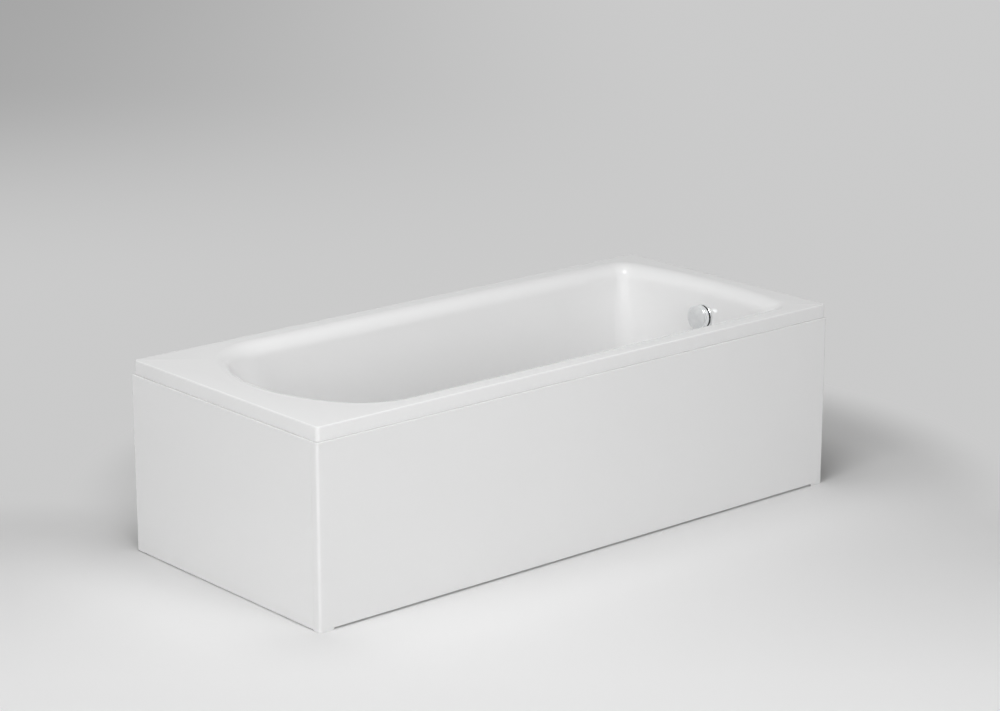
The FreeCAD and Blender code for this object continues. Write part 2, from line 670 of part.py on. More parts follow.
# Levelling feet: a pad on the floor, a stud up through the bar, and a nut on each side of the bar
z_stud = d.pad_height - d.pad_socket
z_stud_top = z_bar_top + d.nut_height + d.stud_spare
pad_outline = [
    (0, 0),
    (d.pad_radius, 0),
    (d.pad_radius, d.pad_rim),
    (d.pad_neck, d.pad_height),
    (d.stud_radius + d.nut_play, d.pad_height),
    (d.stud_radius + d.nut_play, z_stud),
    (0, z_stud),
]
lock_nuts = []
for end, x_bar in BARS:
    for side, sign in SIDES:
        y_foot = centre_y + foot_spread * sign
        foot = f"{end}_{side}"
        keep(f"foot_pad_{foot}", turned(f"foot_pad_{foot}", pad_outline, (x_bar, y_foot, 0)))
        stud = rod(f"foot_stud_{foot}", d.stud_radius, z_stud_top - z_stud, (x_bar, y_foot, z_stud))
        keep(f"foot_stud_{foot}", stud)
        for level, z_nut in (("upper", z_bar_top), ("lower", z_web - d.nut_height)):
            nut = doc.addObject("Part::Prism", f"nut_{foot}_{level}_blank")
            nut.Polygon = 6
            bind(nut, "Circumradius", d.nut_radius)
            bind(nut, "Height", d.nut_height)
            place(nut, (x_bar, y_foot, z_nut))
            bore_at = (x_bar, y_foot, z_nut - d.overrun)
            bore_length = d.nut_height + d.overrun * 2
            bore = rod(f"nut_{foot}_{level}_bore", d.stud_radius + d.nut_play, bore_length, bore_at)
            lock_nuts.append(cut(f"nut_{foot}_{level}", nut, bore))
keep("foot_lock_nuts", group("foot_lock_nuts", lock_nuts))


# Panels: trays of sheet with their returns turned in
def is_end_edge(box, length):
    upright = box.XLength < TOLERANCE and box.ZLength > TOLERANCE
    return upright and (box.XMin < TOLERANCE or box.XMin > length.number - TOLERANCE)


def tray(name, outline, length, low, high, corner_radius, at, turn=UPRIGHT):
    """A panel that faces -Y before it is turned, hollow behind its sheet between two heights."""
    shell = padded(f"{name}_shell", "XZ_Plane", outline, d.panel_return, at, turn)
    rounded(shell, corner_radius, lambda box: box.YMax < TOLERANCE and is_end_edge(box, length))
    rounded(shell, d.panel_edge, lambda box: box.YMax < TOLERANCE and box.ZMin > high.number - TOLERANCE)
    hollow_outline = [
        (d.panel_sheet, low + d.panel_sheet),
        (length - d.panel_sheet, low + d.panel_sheet),
        (length - d.panel_sheet, high - d.panel_sheet),
        (d.panel_sheet, high - d.panel_sheet),
    ]
    x, y, z = at
    behind = (x + d.panel_sheet, y, z) if turn is HEAD_SIDE else (x, y + d.panel_sheet, z)
    hollow = padded(f"{name}_hollow", "XZ_Plane", hollow_outline, d.panel_return, behind, turn)
    return cut(f"{name}_tray", shell, hollow)


x_panel = x_head - d.panel_proud
y_panel = y_front - d.panel_proud
y_return = y_panel + d.panel_return
x_return = x_panel + d.panel_return
front_length = d.tub_length + d.panel_proud
front_outline = [
    (0, 0),
    (d.panel_foot, 0),
    (d.panel_foot, d.panel_floor_gap),
    (front_length - d.panel_foot, d.panel_floor_gap),
    (front_length - d.panel_foot, 0),
    (front_length, 0),
    (front_length, z_panel_top),
    (0, z_panel_top),
]
front_at = (x_panel, y_panel, 0)
front_panel = tray(
    "front_panel", front_outline, front_length, d.panel_floor_gap, z_panel_top, d.panel_corner, front_at
)
keep("front_panel", front_panel)

y_seam = y_return + d.panel_seam
end_length = y_back - y_seam
end_outline = [
    (0, d.end_floor_gap),
    (end_length, d.end_floor_gap),
    (end_length, z_panel_top),
    (0, z_panel_top),
]
end_at = (x_panel, y_back, 0)
end_tray = tray(
    "end_panel", end_outline, end_length, d.end_floor_gap, z_panel_top, d.seam_edge, end_at, HEAD_SIDE
)

# Corner post bonded inside the end of the front panel; the end panel is screwed to it
post_depth = d.panel_return - d.panel_sheet
post_chamfer = d.panel_corner - d.panel_sheet
post_low = d.panel_floor_gap + d.panel_sheet
post_height = z_panel_top - d.panel_sheet - post_low
x_post = x_panel + d.panel_sheet
post_size = (d.post_width, post_depth, post_height)
post_block = block("corner_post_block", post_size, (x_post, y_panel + d.panel_sheet, post_low))
post_relief_size = (post_chamfer, post_chamfer, post_height + d.overrun * 2)
post_relief_at = (x_post, y_panel + d.panel_sheet, post_low - d.overrun)
post_relief = block("corner_post_relief", post_relief_size, post_relief_at)
keep("corner_post", cut("corner_post", post_block, post_relief))

post_screws = []
post_holes = []
x_post_screw = x_post + d.post_width / 2
for i, share in enumerate(POST_SCREW_SHARES):
    z_screw = post_low + post_height * share
    head_at = (x_post_screw, y_seam + d.panel_sheet + d.screw_head_height, z_screw)
    grip = d.panel_sheet + d.panel_seam + d.screw_bite
    post_screws.append(screw(f"post_screw_{i}", grip, head_at, TO_FRONT))
    hole_at = (x_post_screw, y_seam - d.overrun, z_screw)
    hole_length = d.panel_sheet + d.overrun * 2
    post_holes.append(rod(f"post_hole_{i}", d.screw_radius + d.screw_play, hole_length, hole_at, TO_BACK))
keep("end_panel", cut("end_panel", end_tray, group("end_panel_holes", post_holes)))
keep("corner_screws", group("corner_screws", post_screws))

# Clips that hang from the battens and hold the top returns of the panels
clip_mouth = d.panel_sheet + d.clip_play * 2
clip_depth = d.clip_grip + d.clip_play + d.clip_web
z_clip = z_panel_top - d.panel_sheet - d.clip_play - d.clip_jaw
clip_height = z_batten - z_clip
clip_outline = [
    (0, 0),
    (clip_depth, 0),
    (clip_depth, clip_height),
    (0, clip_height),
    (0, d.clip_jaw + clip_mouth),
    (clip_depth - d.clip_web, d.clip_jaw + clip_mouth),
    (clip_depth - d.clip_web, d.clip_jaw),
    (0, d.clip_jaw),
]
clip_screws = []


def clip(name, x_middle, y_middle, turn):
    """A clip, at the middle of its width and the tip of its jaws, and its screw up into the batten."""
    behind = clip_depth - d.clip_web / 2
    if turn is HEAD_SIDE:
        corner = (x_middle, y_middle + d.clip_width / 2, z_clip)
        x_screw, y_screw = x_middle + behind, y_middle
    else:
        corner = (x_middle - d.clip_width / 2, y_middle, z_clip)
        x_screw, y_screw = x_middle, y_middle + behind
    shape = padded(f"{name}_shape", "YZ_Plane", clip_outline, d.clip_width, corner, turn)
    hole_length = clip_height + d.overrun * 2
    hole_at = (x_screw, y_screw, z_clip - d.overrun)
    hole = rod(f"{name}_hole", d.screw_radius + d.screw_play, hole_length, hole_at)
    head_at = (x_screw, y_screw, z_clip - d.screw_head_height)
    clip_screws.append(screw(f"{name}_screw", clip_height + d.screw_bite, head_at, UPRIGHT))
    return cut(name, shape, hole)


front_clips = []
for i, share in enumerate(FRONT_CLIP_SHARES):
    front_clips.append(clip(f"front_clip_{i}", x_head + d.tub_length * share, y_return - d.clip_grip, UPRIGHT))
keep("panel_clips_front", group("panel_clips_front", front_clips))
end_clips = []
for i, share in enumerate(END_CLIP_SHARES):
    end_clips.append(clip(f"end_clip_{i}", x_return - d.clip_grip, y_front + d.tub_width * share, HEAD_SIDE))
keep("panel_clips_end", group("panel_clips_end", end_clips))
keep("clip_screws", group("clip_screws", clip_screws))

# Brackets from the front ends of the leg bars down to the foot of the front panel
z_bracket = d.panel_floor_gap + d.panel_sheet
y_upright = y_return + d.bracket_gap
bracket_height = z_bar_top + d.bracket_sheet - z_bracket
bracket_top = y_bar + d.bracket_overlap - y_upright
bracket_outline = [
    (0, 0),
    (d.bracket_foot + d.bracket_sheet, 0),
    (d.bracket_foot + d.bracket_sheet, bracket_height - d.bracket_sheet),
    (d.bracket_foot + bracket_top, bracket_height - d.bracket_sheet),
    (d.bracket_foot + bracket_top, bracket_height),
    (d.bracket_foot, bracket_height),
    (d.bracket_foot, d.bracket_sheet),
    (0, d.bracket_sheet),
]
bracket_screws = []
for end, x_bar in BARS:
    corner = (x_bar - d.bracket_width / 2, y_upright - d.bracket_foot, z_bracket)
    shape = padded(f"panel_bracket_{end}_shape", "YZ_Plane", bracket_outline, d.bracket_width, corner)
    holes = []
    screw_places = (
        ("foot", y_upright - d.bracket_foot / 2, z_bracket + d.bracket_sheet),
        ("top", y_bar + d.bracket_overlap / 2, z_bar_top + d.bracket_sheet),
    )
    for level, y_screw, z_seat in screw_places:
        name = f"bracket_{end}_{level}"
        hole_length = d.bracket_sheet + d.overrun * 2
        hole_at = (x_bar, y_screw, z_seat - d.bracket_sheet - d.overrun)
        holes.append(rod(f"{name}_hole", d.screw_radius + d.screw_play, hole_length, hole_at))
        head_at = (x_bar, y_screw, z_seat + d.screw_head_height)
        bracket_screws.append(screw(f"{name}_screw", d.bracket_sheet + d.sheet_bite, head_at, UPSIDE_DOWN))
    holes = group(f"panel_bracket_{end}_holes", holes)
    keep(f"panel_bracket_{end}", cut(f"panel_bracket_{end}", shape, holes))
keep("bracket_screws", group("bracket_screws", bracket_screws))

# Waste: levels from the recess in the basin floor down to the trap
z_recess = z_floor - d.waste_recess_depth
z_waste_rim = z_recess + d.waste_seal_thick
z_waste_top = z_waste_rim + d.waste_rim_thick
z_boss = z_under - d.waste_recess_depth
z_body_top = z_boss - d.waste_gasket_thick
z_neck = z_body_top - d.waste_engage
z_chamber = z_neck - d.chamber_height
z_foot = z_chamber - d.body_plate
z_trap = d.trap_floor_gap
z_trap_top = z_foot - d.trap_seal_thick
z_dip = z_trap + d.trap_wall + d.dip_gap
z_spigot = z_chamber + d.chamber_height / 2
z_stem = z_chamber + d.stem_foot
z_plug = z_waste_top + d.plug_gap
waste_neck = d.waste_bore + d.waste_neck_wall
waste_throat = d.waste_hole - d.waste_throat_gap


def at_waste(z):
    return (x_waste, centre_y, z)


flange_outline = [
    (d.waste_bore, 0),
    (waste_neck, 0),
    (waste_neck, z_waste_rim - d.waste_throat_drop - z_neck),
    (waste_throat, z_waste_rim - d.waste_throat_land - z_neck),
    (waste_throat, z_waste_rim - z_neck),
    (d.waste_rim, z_waste_rim - z_neck),
    (d.waste_rim, z_waste_top - z_neck),
    (d.waste_dish, z_waste_top - z_neck),
    (d.waste_bore, z_waste_top - d.waste_cone_drop - z_neck),
]
spoke_half = d.waste_bore + d.waste_neck_wall / 2
half_spoke = d.spoke_width / 2
flange_pieces = [
    turned("waste_flange_dish", flange_outline, at_waste(z_neck)),
    block(
        "waste_spoke_long",
        (spoke_half * 2, d.spoke_width, d.spoke_height),
        (x_waste - spoke_half, centre_y - half_spoke, z_neck),
    ),
    block(
        "waste_spoke_cross",
        (d.spoke_width, spoke_half * 2, d.spoke_height),
        (x_waste - half_spoke, centre_y - spoke_half, z_neck),
    ),
    rod("waste_guide", d.guide_radius, d.spoke_height, at_waste(z_neck)),
]
guide_bore = rod(
    "waste_guide_bore",
    d.stem_radius + d.stem_play,
    d.spoke_height + d.overrun * 2,
    at_waste(z_neck - d.overrun),
)
keep("waste_flange", cut("waste_flange", fused("waste_flange_solid", flange_pieces), guide_bore))

seal_inner = d.waste_hole + d.seal_margin
waste_seal = ring(
    "waste_seal", seal_inner, d.waste_rim - d.seal_margin, d.waste_seal_thick, at_waste(z_recess)
)
keep("waste_seal", waste_seal)
waste_gasket = ring(
    "waste_gasket", seal_inner, d.body_flange - d.seal_margin, d.waste_gasket_thick, at_waste(z_body_top)
)
keep("waste_gasket", waste_gasket)

body_bore = d.body_radius - d.body_wall
dip_bore = d.dip_radius - d.dip_wall
waste_body_outline = [
    (dip_bore, 0),
    (d.dip_radius, 0),
    (d.dip_radius, z_foot - z_dip),
    (d.body_foot, z_foot - z_dip),
    (d.body_foot, z_chamber - z_dip),
    (d.body_radius, z_chamber - z_dip),
    (d.body_radius, z_body_top - d.body_flange_thick - z_dip),
    (d.body_flange, z_body_top - d.body_flange_thick - z_dip),
    (d.body_flange, z_body_top - z_dip),
    (waste_neck + d.thread_play, z_body_top - z_dip),
    (waste_neck + d.thread_play, z_neck - z_dip),
    (body_bore, z_neck - z_dip),
    (body_bore, z_chamber - z_dip),
    (dip_bore, z_chamber - z_dip),
]
z_lever = z_stem - d.lever_play - d.lever_height / 2
in_body_wall = d.body_radius - d.body_wall / 2
waste_spigot_end = x_waste + d.body_radius + d.waste_spigot
y_waste_gland = centre_y - d.body_radius - d.gland_length
pipe_bore = d.pipe_radius - d.pipe_wall
waste_body_solid = fused(
    "waste_body_solid",
    [
        turned("waste_body_pot", waste_body_outline, at_waste(z_dip)),
        rod(
            "waste_body_spigot",
            d.pipe_radius,
            waste_spigot_end - x_waste - in_body_wall,
            (x_waste + in_body_wall, centre_y, z_spigot),
            TO_DRAIN,
        ),
        rod(
            "waste_body_gland",
            d.gland_radius,
            d.gland_length + d.body_wall / 2,
            (x_waste, y_waste_gland, z_lever),
            TO_BACK,
        ),
    ],
)
spigot_bore = rod(
    "waste_spigot_bore",
    pipe_bore,
    d.body_wall * 2 + d.waste_spigot + d.overrun,
    (x_waste + d.body_radius - d.body_wall * 2, centre_y, z_spigot),
    TO_DRAIN,
)
trap_screws = []
body_tools = [spigot_bore]
for i in range(4):
    around = math.radians(45 + 90 * i)
    x_screw = x_waste + d.trap_screw_circle * math.cos(around)
    y_screw = centre_y + d.trap_screw_circle * math.sin(around)
    head_at = (x_screw, y_screw, z_chamber + d.screw_head_height)
    trap_screws.append(screw(f"trap_screw_{i}", d.body_plate + d.trap_screw_bite, head_at, UPSIDE_DOWN))
    hole_at = (x_screw, y_screw, z_foot - d.overrun)
    hole_length = d.body_plate + d.overrun * 2
    body_tools.append(rod(f"trap_screw_hole_{i}", d.screw_radius + d.screw_play, hole_length, hole_at))
keep("waste_body", cut("waste_body", waste_body_solid, group("waste_body_tools", body_tools)))
keep("trap_screws", group("trap_screws", trap_screws))

# Plug with its stem and seal; they rise together
plug_radius = d.waste_dish - d.plug_inset
plug_outline = [
    (0, 0),
    (d.stem_radius, 0),
    (d.stem_radius, z_plug - z_stem),
    (plug_radius, z_plug - z_stem),
    (plug_radius, z_plug + d.plug_edge - z_stem),
    (d.plug_flat, z_plug + d.plug_crown - z_stem),
    (0, z_plug + d.plug_crown - z_stem),
]
keep("waste_plug", turned("waste_plug", plug_outline, at_waste(z_stem)))
cone_slope = d.waste_cone_drop / (d.waste_dish - d.waste_bore)
z_plug_seal = z_waste_top - d.plug_seal_inset * cone_slope + d.seat_gap
plug_seal_outer = d.waste_dish - d.plug_seal_inset
plug_seal = ring(
    "plug_seal", d.plug_seal_inner, plug_seal_outer, z_plug - z_plug_seal, at_waste(z_plug_seal)
)
keep("plug_seal", plug_seal)

# Lever under the stem, on a pin across the waste chamber
y_pin = centre_y - d.lever_reach
lever_size = (d.lever_width, d.lever_tail + d.lever_reach + d.lever_tip, d.lever_height)
lever_at = (x_waste - d.lever_width / 2, y_pin - d.lever_tail, z_lever - d.lever_height / 2)
lever_arm = block("lift_lever_arm", lever_size, lever_at)
lever_hole = rod(
    "lift_lever_hole",
    d.pin_radius + d.pin_play,
    d.lever_width + d.overrun * 2,
    (x_waste - d.lever_width / 2 - d.overrun, y_pin, z_lever),
    TO_DRAIN,
)
keep("lift_lever", cut("lift_lever", lever_arm, lever_hole))
pin_at = (x_waste - d.pin_length / 2, y_pin, z_lever)
keep("lever_pin", rod("lever_pin", d.pin_radius, d.pin_length, pin_at, TO_DRAIN))

# Trap under the waste body, and the outlet at its back
trap_height = z_trap_top - z_trap
trap_outline = [
    (0, 0),
    (d.trap_radius, 0),
    (d.trap_radius, trap_height),
    (d.dip_radius + d.dip_play, trap_height),
    (d.dip_radius + d.dip_play, trap_height - d.trap_wall),
    (d.trap_radius - d.trap_wall, trap_height - d.trap_wall),
    (d.trap_radius - d.trap_wall, d.trap_wall),
    (0, d.trap_wall),
]
z_outlet = z_trap_top - d.outlet_drop
y_outlet = centre_y + d.trap_radius + d.outlet_spigot
outlet_bore = d.outlet_radius - d.outlet_wall


def at_outlet(y):
    return (x_waste, y, z_outlet)


trap_pot = turned("trap_pot", trap_outline, at_waste(z_trap))
trap_spigot = rod(
    "trap_spigot",
    d.outlet_radius,
    d.outlet_spigot + d.trap_wall,
    at_outlet(centre_y + d.trap_radius - d.trap_wall),
    TO_BACK,
)
trap_bore = rod(
    "trap_bore",
    outlet_bore,
    d.trap_radius / 2 + d.outlet_spigot + d.overrun,
    at_outlet(centre_y + d.trap_radius / 2),
    TO_BACK,
)
keep("trap_housing", cut("trap_housing", fused("trap_solid", [trap_pot, trap_spigot]), trap_bore))
trap_seal = ring(
    "trap_seal",
    d.dip_radius + d.seal_margin,
    d.body_radius + d.seal_margin,
    d.trap_seal_thick,
    at_waste(z_trap_top),
)
keep("trap_seal", trap_seal)

# Outlet pipe: a socket over the trap's spigot with a rubber sleeve between them, and a nut round it
sleeve_inner = d.outlet_radius + d.sleeve_play
sleeve_outer = sleeve_inner + d.sleeve_thick
socket_inner = sleeve_outer + d.sleeve_play
socket_outer = socket_inner + d.outlet_wall
y_socket = y_outlet + d.pipe_gap - d.socket_length
socket_end = d.socket_length + d.outlet_wall
pipe_outline = [
    (socket_inner, 0),
    (socket_outer, 0),
    (socket_outer, socket_end),
    (d.outlet_radius, socket_end),
    (d.outlet_radius, socket_end + d.outlet_length),
    (outlet_bore, socket_end + d.outlet_length),
    (outlet_bore, d.socket_length),
    (socket_inner, d.socket_length),
]
keep("outlet_pipe", turned("outlet_pipe", pipe_outline, at_outlet(y_socket), TO_BACK))
sleeve_at = at_outlet(y_outlet - d.sleeve_length)
keep("outlet_sleeve", ring("outlet_sleeve", sleeve_inner, sleeve_outer, d.sleeve_length, sleeve_at, TO_BACK))
nut_inner = socket_outer + d.outlet_nut_play
nut_outer = socket_outer + d.outlet_nut_wall
outlet_nut = ring("outlet_nut", nut_inner, nut_outer, d.outlet_nut_length, at_outlet(y_socket), TO_BACK)
keep("outlet_nut", outlet_nut)

# Overflow: distances out of the drain wall, from its inner face
out_seal = d.rosette_seal_gap
out_rosette = out_seal + d.rosette_seal_thick
out_front = out_rosette + d.rosette_thick
out_knob = out_front + d.knob_gap
out_gasket = -d.shell_wall - d.seat_gap - d.overflow_gasket_thick
out_neck = out_gasket - d.overflow_engage
out_back = out_gasket - d.overflow_body_depth
chamber_depth = d.overflow_body_depth - d.overflow_engage - d.overflow_body_wall
out_spigot = out_back + d.overflow_body_wall + chamber_depth / 2

rosette_outline = [
    (d.rosette_neck - d.rosette_wall, 0),
    (d.rosette_neck, 0),
    (d.rosette_neck, out_rosette - out_neck),
    (d.rosette_radius, out_rosette - out_neck),
    (d.rosette_radius, out_front - d.rosette_chamfer - out_neck),
    (d.rosette_radius - d.rosette_chamfer, out_front - out_neck),
    (d.rosette_neck - d.rosette_wall, out_front - out_neck),
]
rosette_half = d.rosette_neck - d.rosette_wall / 2
out_hub = out_front - d.hub_length


def beside(point, y_shift):
    x, y, z = point
    return (x, y + y_shift, z)


rosette_pieces = [
    turned("rosette_ring", rosette_outline, on_wall(0, out_neck), OUT_OF_WALL),
    block(
        "rosette_spoke_long",
        (rosette_half * 2, d.spoke_width, d.spoke_height),
        beside(on_wall(-rosette_half, out_hub), -half_spoke),
        OUT_OF_WALL,
    ),
    block(
        "rosette_spoke_cross",
        (d.spoke_width, rosette_half * 2, d.spoke_height),
        beside(on_wall(-half_spoke, out_hub), -rosette_half),
        OUT_OF_WALL,
    ),
    rod("rosette_hub", d.hub_radius, d.hub_length, on_wall(0, out_hub), OUT_OF_WALL),
]
hub_bore = rod(
    "rosette_hub_bore",
    d.spindle_radius + d.spindle_play,
    d.hub_length + d.overrun * 2,
    on_wall(0, out_hub - d.overrun),
    OUT_OF_WALL,
)
keep("overflow_rosette", cut("overflow_rosette", fused("rosette_solid", rosette_pieces), hub_bore))
rosette_seal = ring(
    "rosette_seal",
    d.overflow_hole + d.seal_margin,
    d.rosette_radius - d.seal_margin,
    d.rosette_seal_thick,
    on_wall(0, out_seal),
    OUT_OF_WALL,
)
keep("rosette_seal", rosette_seal)
overflow_gasket = ring(
    "overflow_gasket",
    d.overflow_hole + d.seal_margin,
    d.overflow_flange - d.seal_margin,
    d.overflow_gasket_thick,
    on_wall(0, out_gasket),
    OUT_OF_WALL,
)
keep("overflow_gasket", overflow_gasket)

overflow_chamber = d.overflow_body_radius - d.overflow_body_wall
overflow_body_outline = [
    (0, 0),
    (d.overflow_body_radius, 0),
    (d.overflow_body_radius, d.overflow_body_depth - d.overflow_flange_thick),
    (d.overflow_flange, d.overflow_body_depth - d.overflow_flange_thick),
    (d.overflow_flange, d.overflow_body_depth),
    (d.rosette_neck + d.thread_play, d.overflow_body_depth),
    (d.rosette_neck + d.thread_play, d.overflow_body_depth - d.overflow_engage),
    (overflow_chamber, d.overflow_body_depth - d.overflow_engage),
    (overflow_chamber, d.overflow_body_wall),
    (0, d.overflow_body_wall),
]
overflow_spigot_end = d.overflow_body_radius + d.overflow_spigot
y_overflow_gland = centre_y - d.overflow_body_radius - d.gland_length
x_cable, _, z_cable = on_wall(0, out_spigot)
overflow_solid = fused(
    "overflow_solid",
    [
        turned("overflow_pot", overflow_body_outline, on_wall(0, out_back), OUT_OF_WALL),
        rod(
            "overflow_spigot",
            d.pipe_radius,
            d.overflow_spigot + d.overflow_body_wall / 2,
            on_wall(-overflow_spigot_end, out_spigot),
            UP_THE_WALL,
        ),
        rod(
            "overflow_gland",
            d.gland_radius,
            d.gland_length + d.overflow_body_wall / 2,
            (x_cable, y_overflow_gland, z_cable),
            TO_BACK,
        ),
    ],
)
overflow_bore = rod(
    "overflow_spigot_bore",
    pipe_bore,
    d.overrun + d.overflow_spigot + d.overflow_body_wall * 2,
    on_wall(-overflow_spigot_end - d.overrun, out_spigot),
    UP_THE_WALL,
)
keep("overflow_body", cut("overflow_body", overflow_solid, overflow_bore))

# Knob, spindle and cable crank; they turn together
socket_radius = d.spindle_radius + d.spindle_play
knob_inside = d.knob_height - d.knob_face
groove_end = d.knob_groove_at + d.knob_groove_width
groove_radius = d.knob_radius - d.knob_groove_depth
knob_outline = [
    (socket_radius, 0),
    (d.knob_boss, 0),
    (d.knob_boss, knob_inside),
    (d.knob_radius - d.knob_wall, knob_inside),
    (d.knob_radius - d.knob_wall, 0),
    (d.knob_radius, 0),
    (d.knob_radius, d.knob_groove_at),
    (groove_radius, d.knob_groove_at),
    (groove_radius, groove_end),
    (d.knob_radius, groove_end),
    (d.knob_radius, d.knob_height - d.knob_chamfer),
    (d.knob_radius - d.knob_chamfer, d.knob_height),
    (0, d.knob_height),
    (0, d.knob_socket),
    (socket_radius, d.knob_socket),
]
keep("overflow_knob", turned("overflow_knob", knob_outline, on_wall(0, out_knob), OUT_OF_WALL))
out_crank = out_spigot - d.crank_thick / 2
out_spindle = out_crank - d.spindle_tail
spindle_length = out_knob + d.knob_socket - out_spindle
spindle = rod("knob_spindle", d.spindle_radius, spindle_length, on_wall(0, out_spindle), OUT_OF_WALL)
keep("knob_spindle", spindle)
crank_solid = fused(
    "cable_crank_solid",
    [
        rod("crank_hub", d.crank_hub, d.crank_thick, on_wall(0, out_crank), OUT_OF_WALL),
        block(
            "crank_arm",
            (d.crank_width, d.crank_reach, d.crank_thick),
            beside(on_wall(-d.crank_width / 2, out_crank), -d.crank_reach),
            OUT_OF_WALL,
        ),
    ],
)
crank_bore = rod(
    "crank_bore",
    d.spindle_radius + d.spindle_play,
    d.crank_thick + d.overrun * 2,
    on_wall(0, out_crank - d.overrun),
    OUT_OF_WALL,
)
keep("cable_crank", cut("cable_crank", crank_solid, crank_bore))

# Overflow pipe: down behind the drain wall and under the basin to the waste body
pipe_top = vector(on_wall(-overflow_spigot_end - d.pipe_gap, out_spigot))
pipe_end = vector((waste_spigot_end + d.pipe_gap, centre_y, z_spigot))
fall = (pipe_top.z - pipe_end.z) / wall_cosine.number
pipe_corner = FreeCAD.Vector(pipe_top.x - fall * wall_sine.number, pipe_end.y, pipe_end.z)
pipe_path = route([pipe_top, pipe_corner, pipe_end], d.pipe_bend.number)
overflow_pipe = doc.addObject("Part::Feature", "overflow_pipe")
overflow_pipe.Shape = swept(pipe_path, d.pipe_radius).cut(swept(pipe_path, pipe_bore))
keep("overflow_pipe", overflow_pipe)
pipe_nut_inner = d.pipe_radius + d.pipe_nut_play
pipe_nut_outer = d.pipe_radius + d.pipe_nut_wall
half_nut = (d.pipe_nut_length + d.pipe_gap) / 2
upper_nut_at = on_wall(-overflow_spigot_end - half_nut, out_spigot)
upper_nut = ring(
    "overflow_nut_upper", pipe_nut_inner, pipe_nut_outer, d.pipe_nut_length, upper_nut_at, UP_THE_WALL
)
keep("overflow_nut_upper", upper_nut)
lower_nut_at = (waste_spigot_end + half_nut - d.pipe_nut_length, centre_y, z_spigot)
lower_nut = ring(
    "overflow_nut_lower", pipe_nut_inner, pipe_nut_outer, d.pipe_nut_length, lower_nut_at, TO_DRAIN
)
keep("overflow_nut_lower", lower_nut)

# Cable from the lift lever's gland, under the basin and up along the drain wall, to the crank's gland
y_cable = centre_y - d.cable_offset
z_cable_low = z_lever + d.cable_sweep
z_cable_high = z_cable - d.cable_corner
x_cable_low = x_cable - (z_cable_high - z_cable_low) * d.drain_lean / tub_depth
cable_points = (
    (x_waste, y_waste_gland, z_lever),
    (x_waste, y_cable + d.cable_corner, z_lever),
    (x_waste + d.cable_corner, y_cable, z_lever),
    (x_cable_low - d.cable_sweep, y_cable, z_lever),
    (x_cable_low, y_cable, z_cable_low),
    (x_cable, y_cable, z_cable_high),
    (x_cable, y_cable + d.cable_corner, z_cable),
    (x_cable, y_overflow_gland, z_cable),
)
cable_path = route([vector(point) for point in cable_points], d.cable_bend.number)
cable = doc.addObject("Part::Feature", "lift_cable")
cable.Shape = swept(cable_path, d.cable_radius)
keep("lift_cable", cable)

# Check every object, then write one file for each sub-part
doc.recompute()
for item in doc.Objects:
    if "Invalid" in item.State or "Error" in item.State:
        raise RuntimeError(f"{item.Label} is in state {item.State}")
os.makedirs("parts", exist_ok=True)
for piece in subparts:
    if piece.Shape.isNull() or not piece.Shape.isValid():
        raise RuntimeError(f"{piece.Label} has no valid shape")
    piece.Shape.exportStep(f"parts/{piece.Label}.step")
print(f"wrote {len(subparts)} sub-parts")
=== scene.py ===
# %% [markdown]
# A rectangular bath of white acrylic, with a long front panel and a short panel at the head end. The
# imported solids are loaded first. They hold every size and place, so each piece made here goes where its
# solid is.

# %% Load the solids
import json
import math
import bmesh
import bpy
from mathutils import Matrix, Vector

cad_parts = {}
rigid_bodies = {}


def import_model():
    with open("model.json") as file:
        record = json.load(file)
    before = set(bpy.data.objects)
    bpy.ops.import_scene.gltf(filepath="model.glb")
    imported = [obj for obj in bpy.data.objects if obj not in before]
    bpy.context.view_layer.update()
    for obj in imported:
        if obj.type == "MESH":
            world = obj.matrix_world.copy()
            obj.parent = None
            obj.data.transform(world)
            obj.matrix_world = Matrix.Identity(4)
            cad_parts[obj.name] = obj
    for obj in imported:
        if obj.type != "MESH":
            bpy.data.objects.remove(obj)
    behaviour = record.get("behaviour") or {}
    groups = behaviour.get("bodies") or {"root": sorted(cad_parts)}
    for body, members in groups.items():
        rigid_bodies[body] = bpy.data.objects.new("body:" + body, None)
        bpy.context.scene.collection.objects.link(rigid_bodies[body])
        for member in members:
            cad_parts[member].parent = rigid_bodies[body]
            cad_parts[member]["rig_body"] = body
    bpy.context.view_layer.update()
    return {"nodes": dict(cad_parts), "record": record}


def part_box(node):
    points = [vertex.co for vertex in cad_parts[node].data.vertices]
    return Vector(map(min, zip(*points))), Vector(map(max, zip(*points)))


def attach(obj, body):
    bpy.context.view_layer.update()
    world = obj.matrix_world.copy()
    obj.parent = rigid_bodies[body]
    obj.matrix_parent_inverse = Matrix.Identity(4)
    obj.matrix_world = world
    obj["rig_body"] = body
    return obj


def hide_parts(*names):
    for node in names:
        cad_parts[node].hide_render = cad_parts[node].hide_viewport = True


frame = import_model()

# %% [markdown]
# The bath was photographed from its head end and a little from above, with a long lens. A camera can be
# moved by eye until the picture looks right, but lens and distance are easily mixed up that way. So the
# place, turn and lens come from fitting the seven visible corners of the rim and the panels.

# %% Camera
CAMERA_PLACE = (-4.5248, -5.2632, 2.3936)
CAMERA_TILT, CAMERA_TURN = 74.242, -40.856
SENSOR_WIDTH, FOCAL_LENGTH = 36.0, 100.76

lens = bpy.data.cameras.new("photo_view")
lens.sensor_fit = "HORIZONTAL"
lens.sensor_width = SENSOR_WIDTH
lens.lens = FOCAL_LENGTH
lens.clip_end = 200.0
camera = bpy.data.objects.new("photo_view", lens)
camera.location = CAMERA_PLACE
camera.rotation_euler = (math.radians(CAMERA_TILT), 0.0, math.radians(CAMERA_TURN))
bpy.context.collection.objects.link(camera)
bpy.context.scene.camera = camera
bpy.context.scene.view_settings.view_transform = "Standard"
print("camera height:", camera.location.z, "lens:", lens.lens)

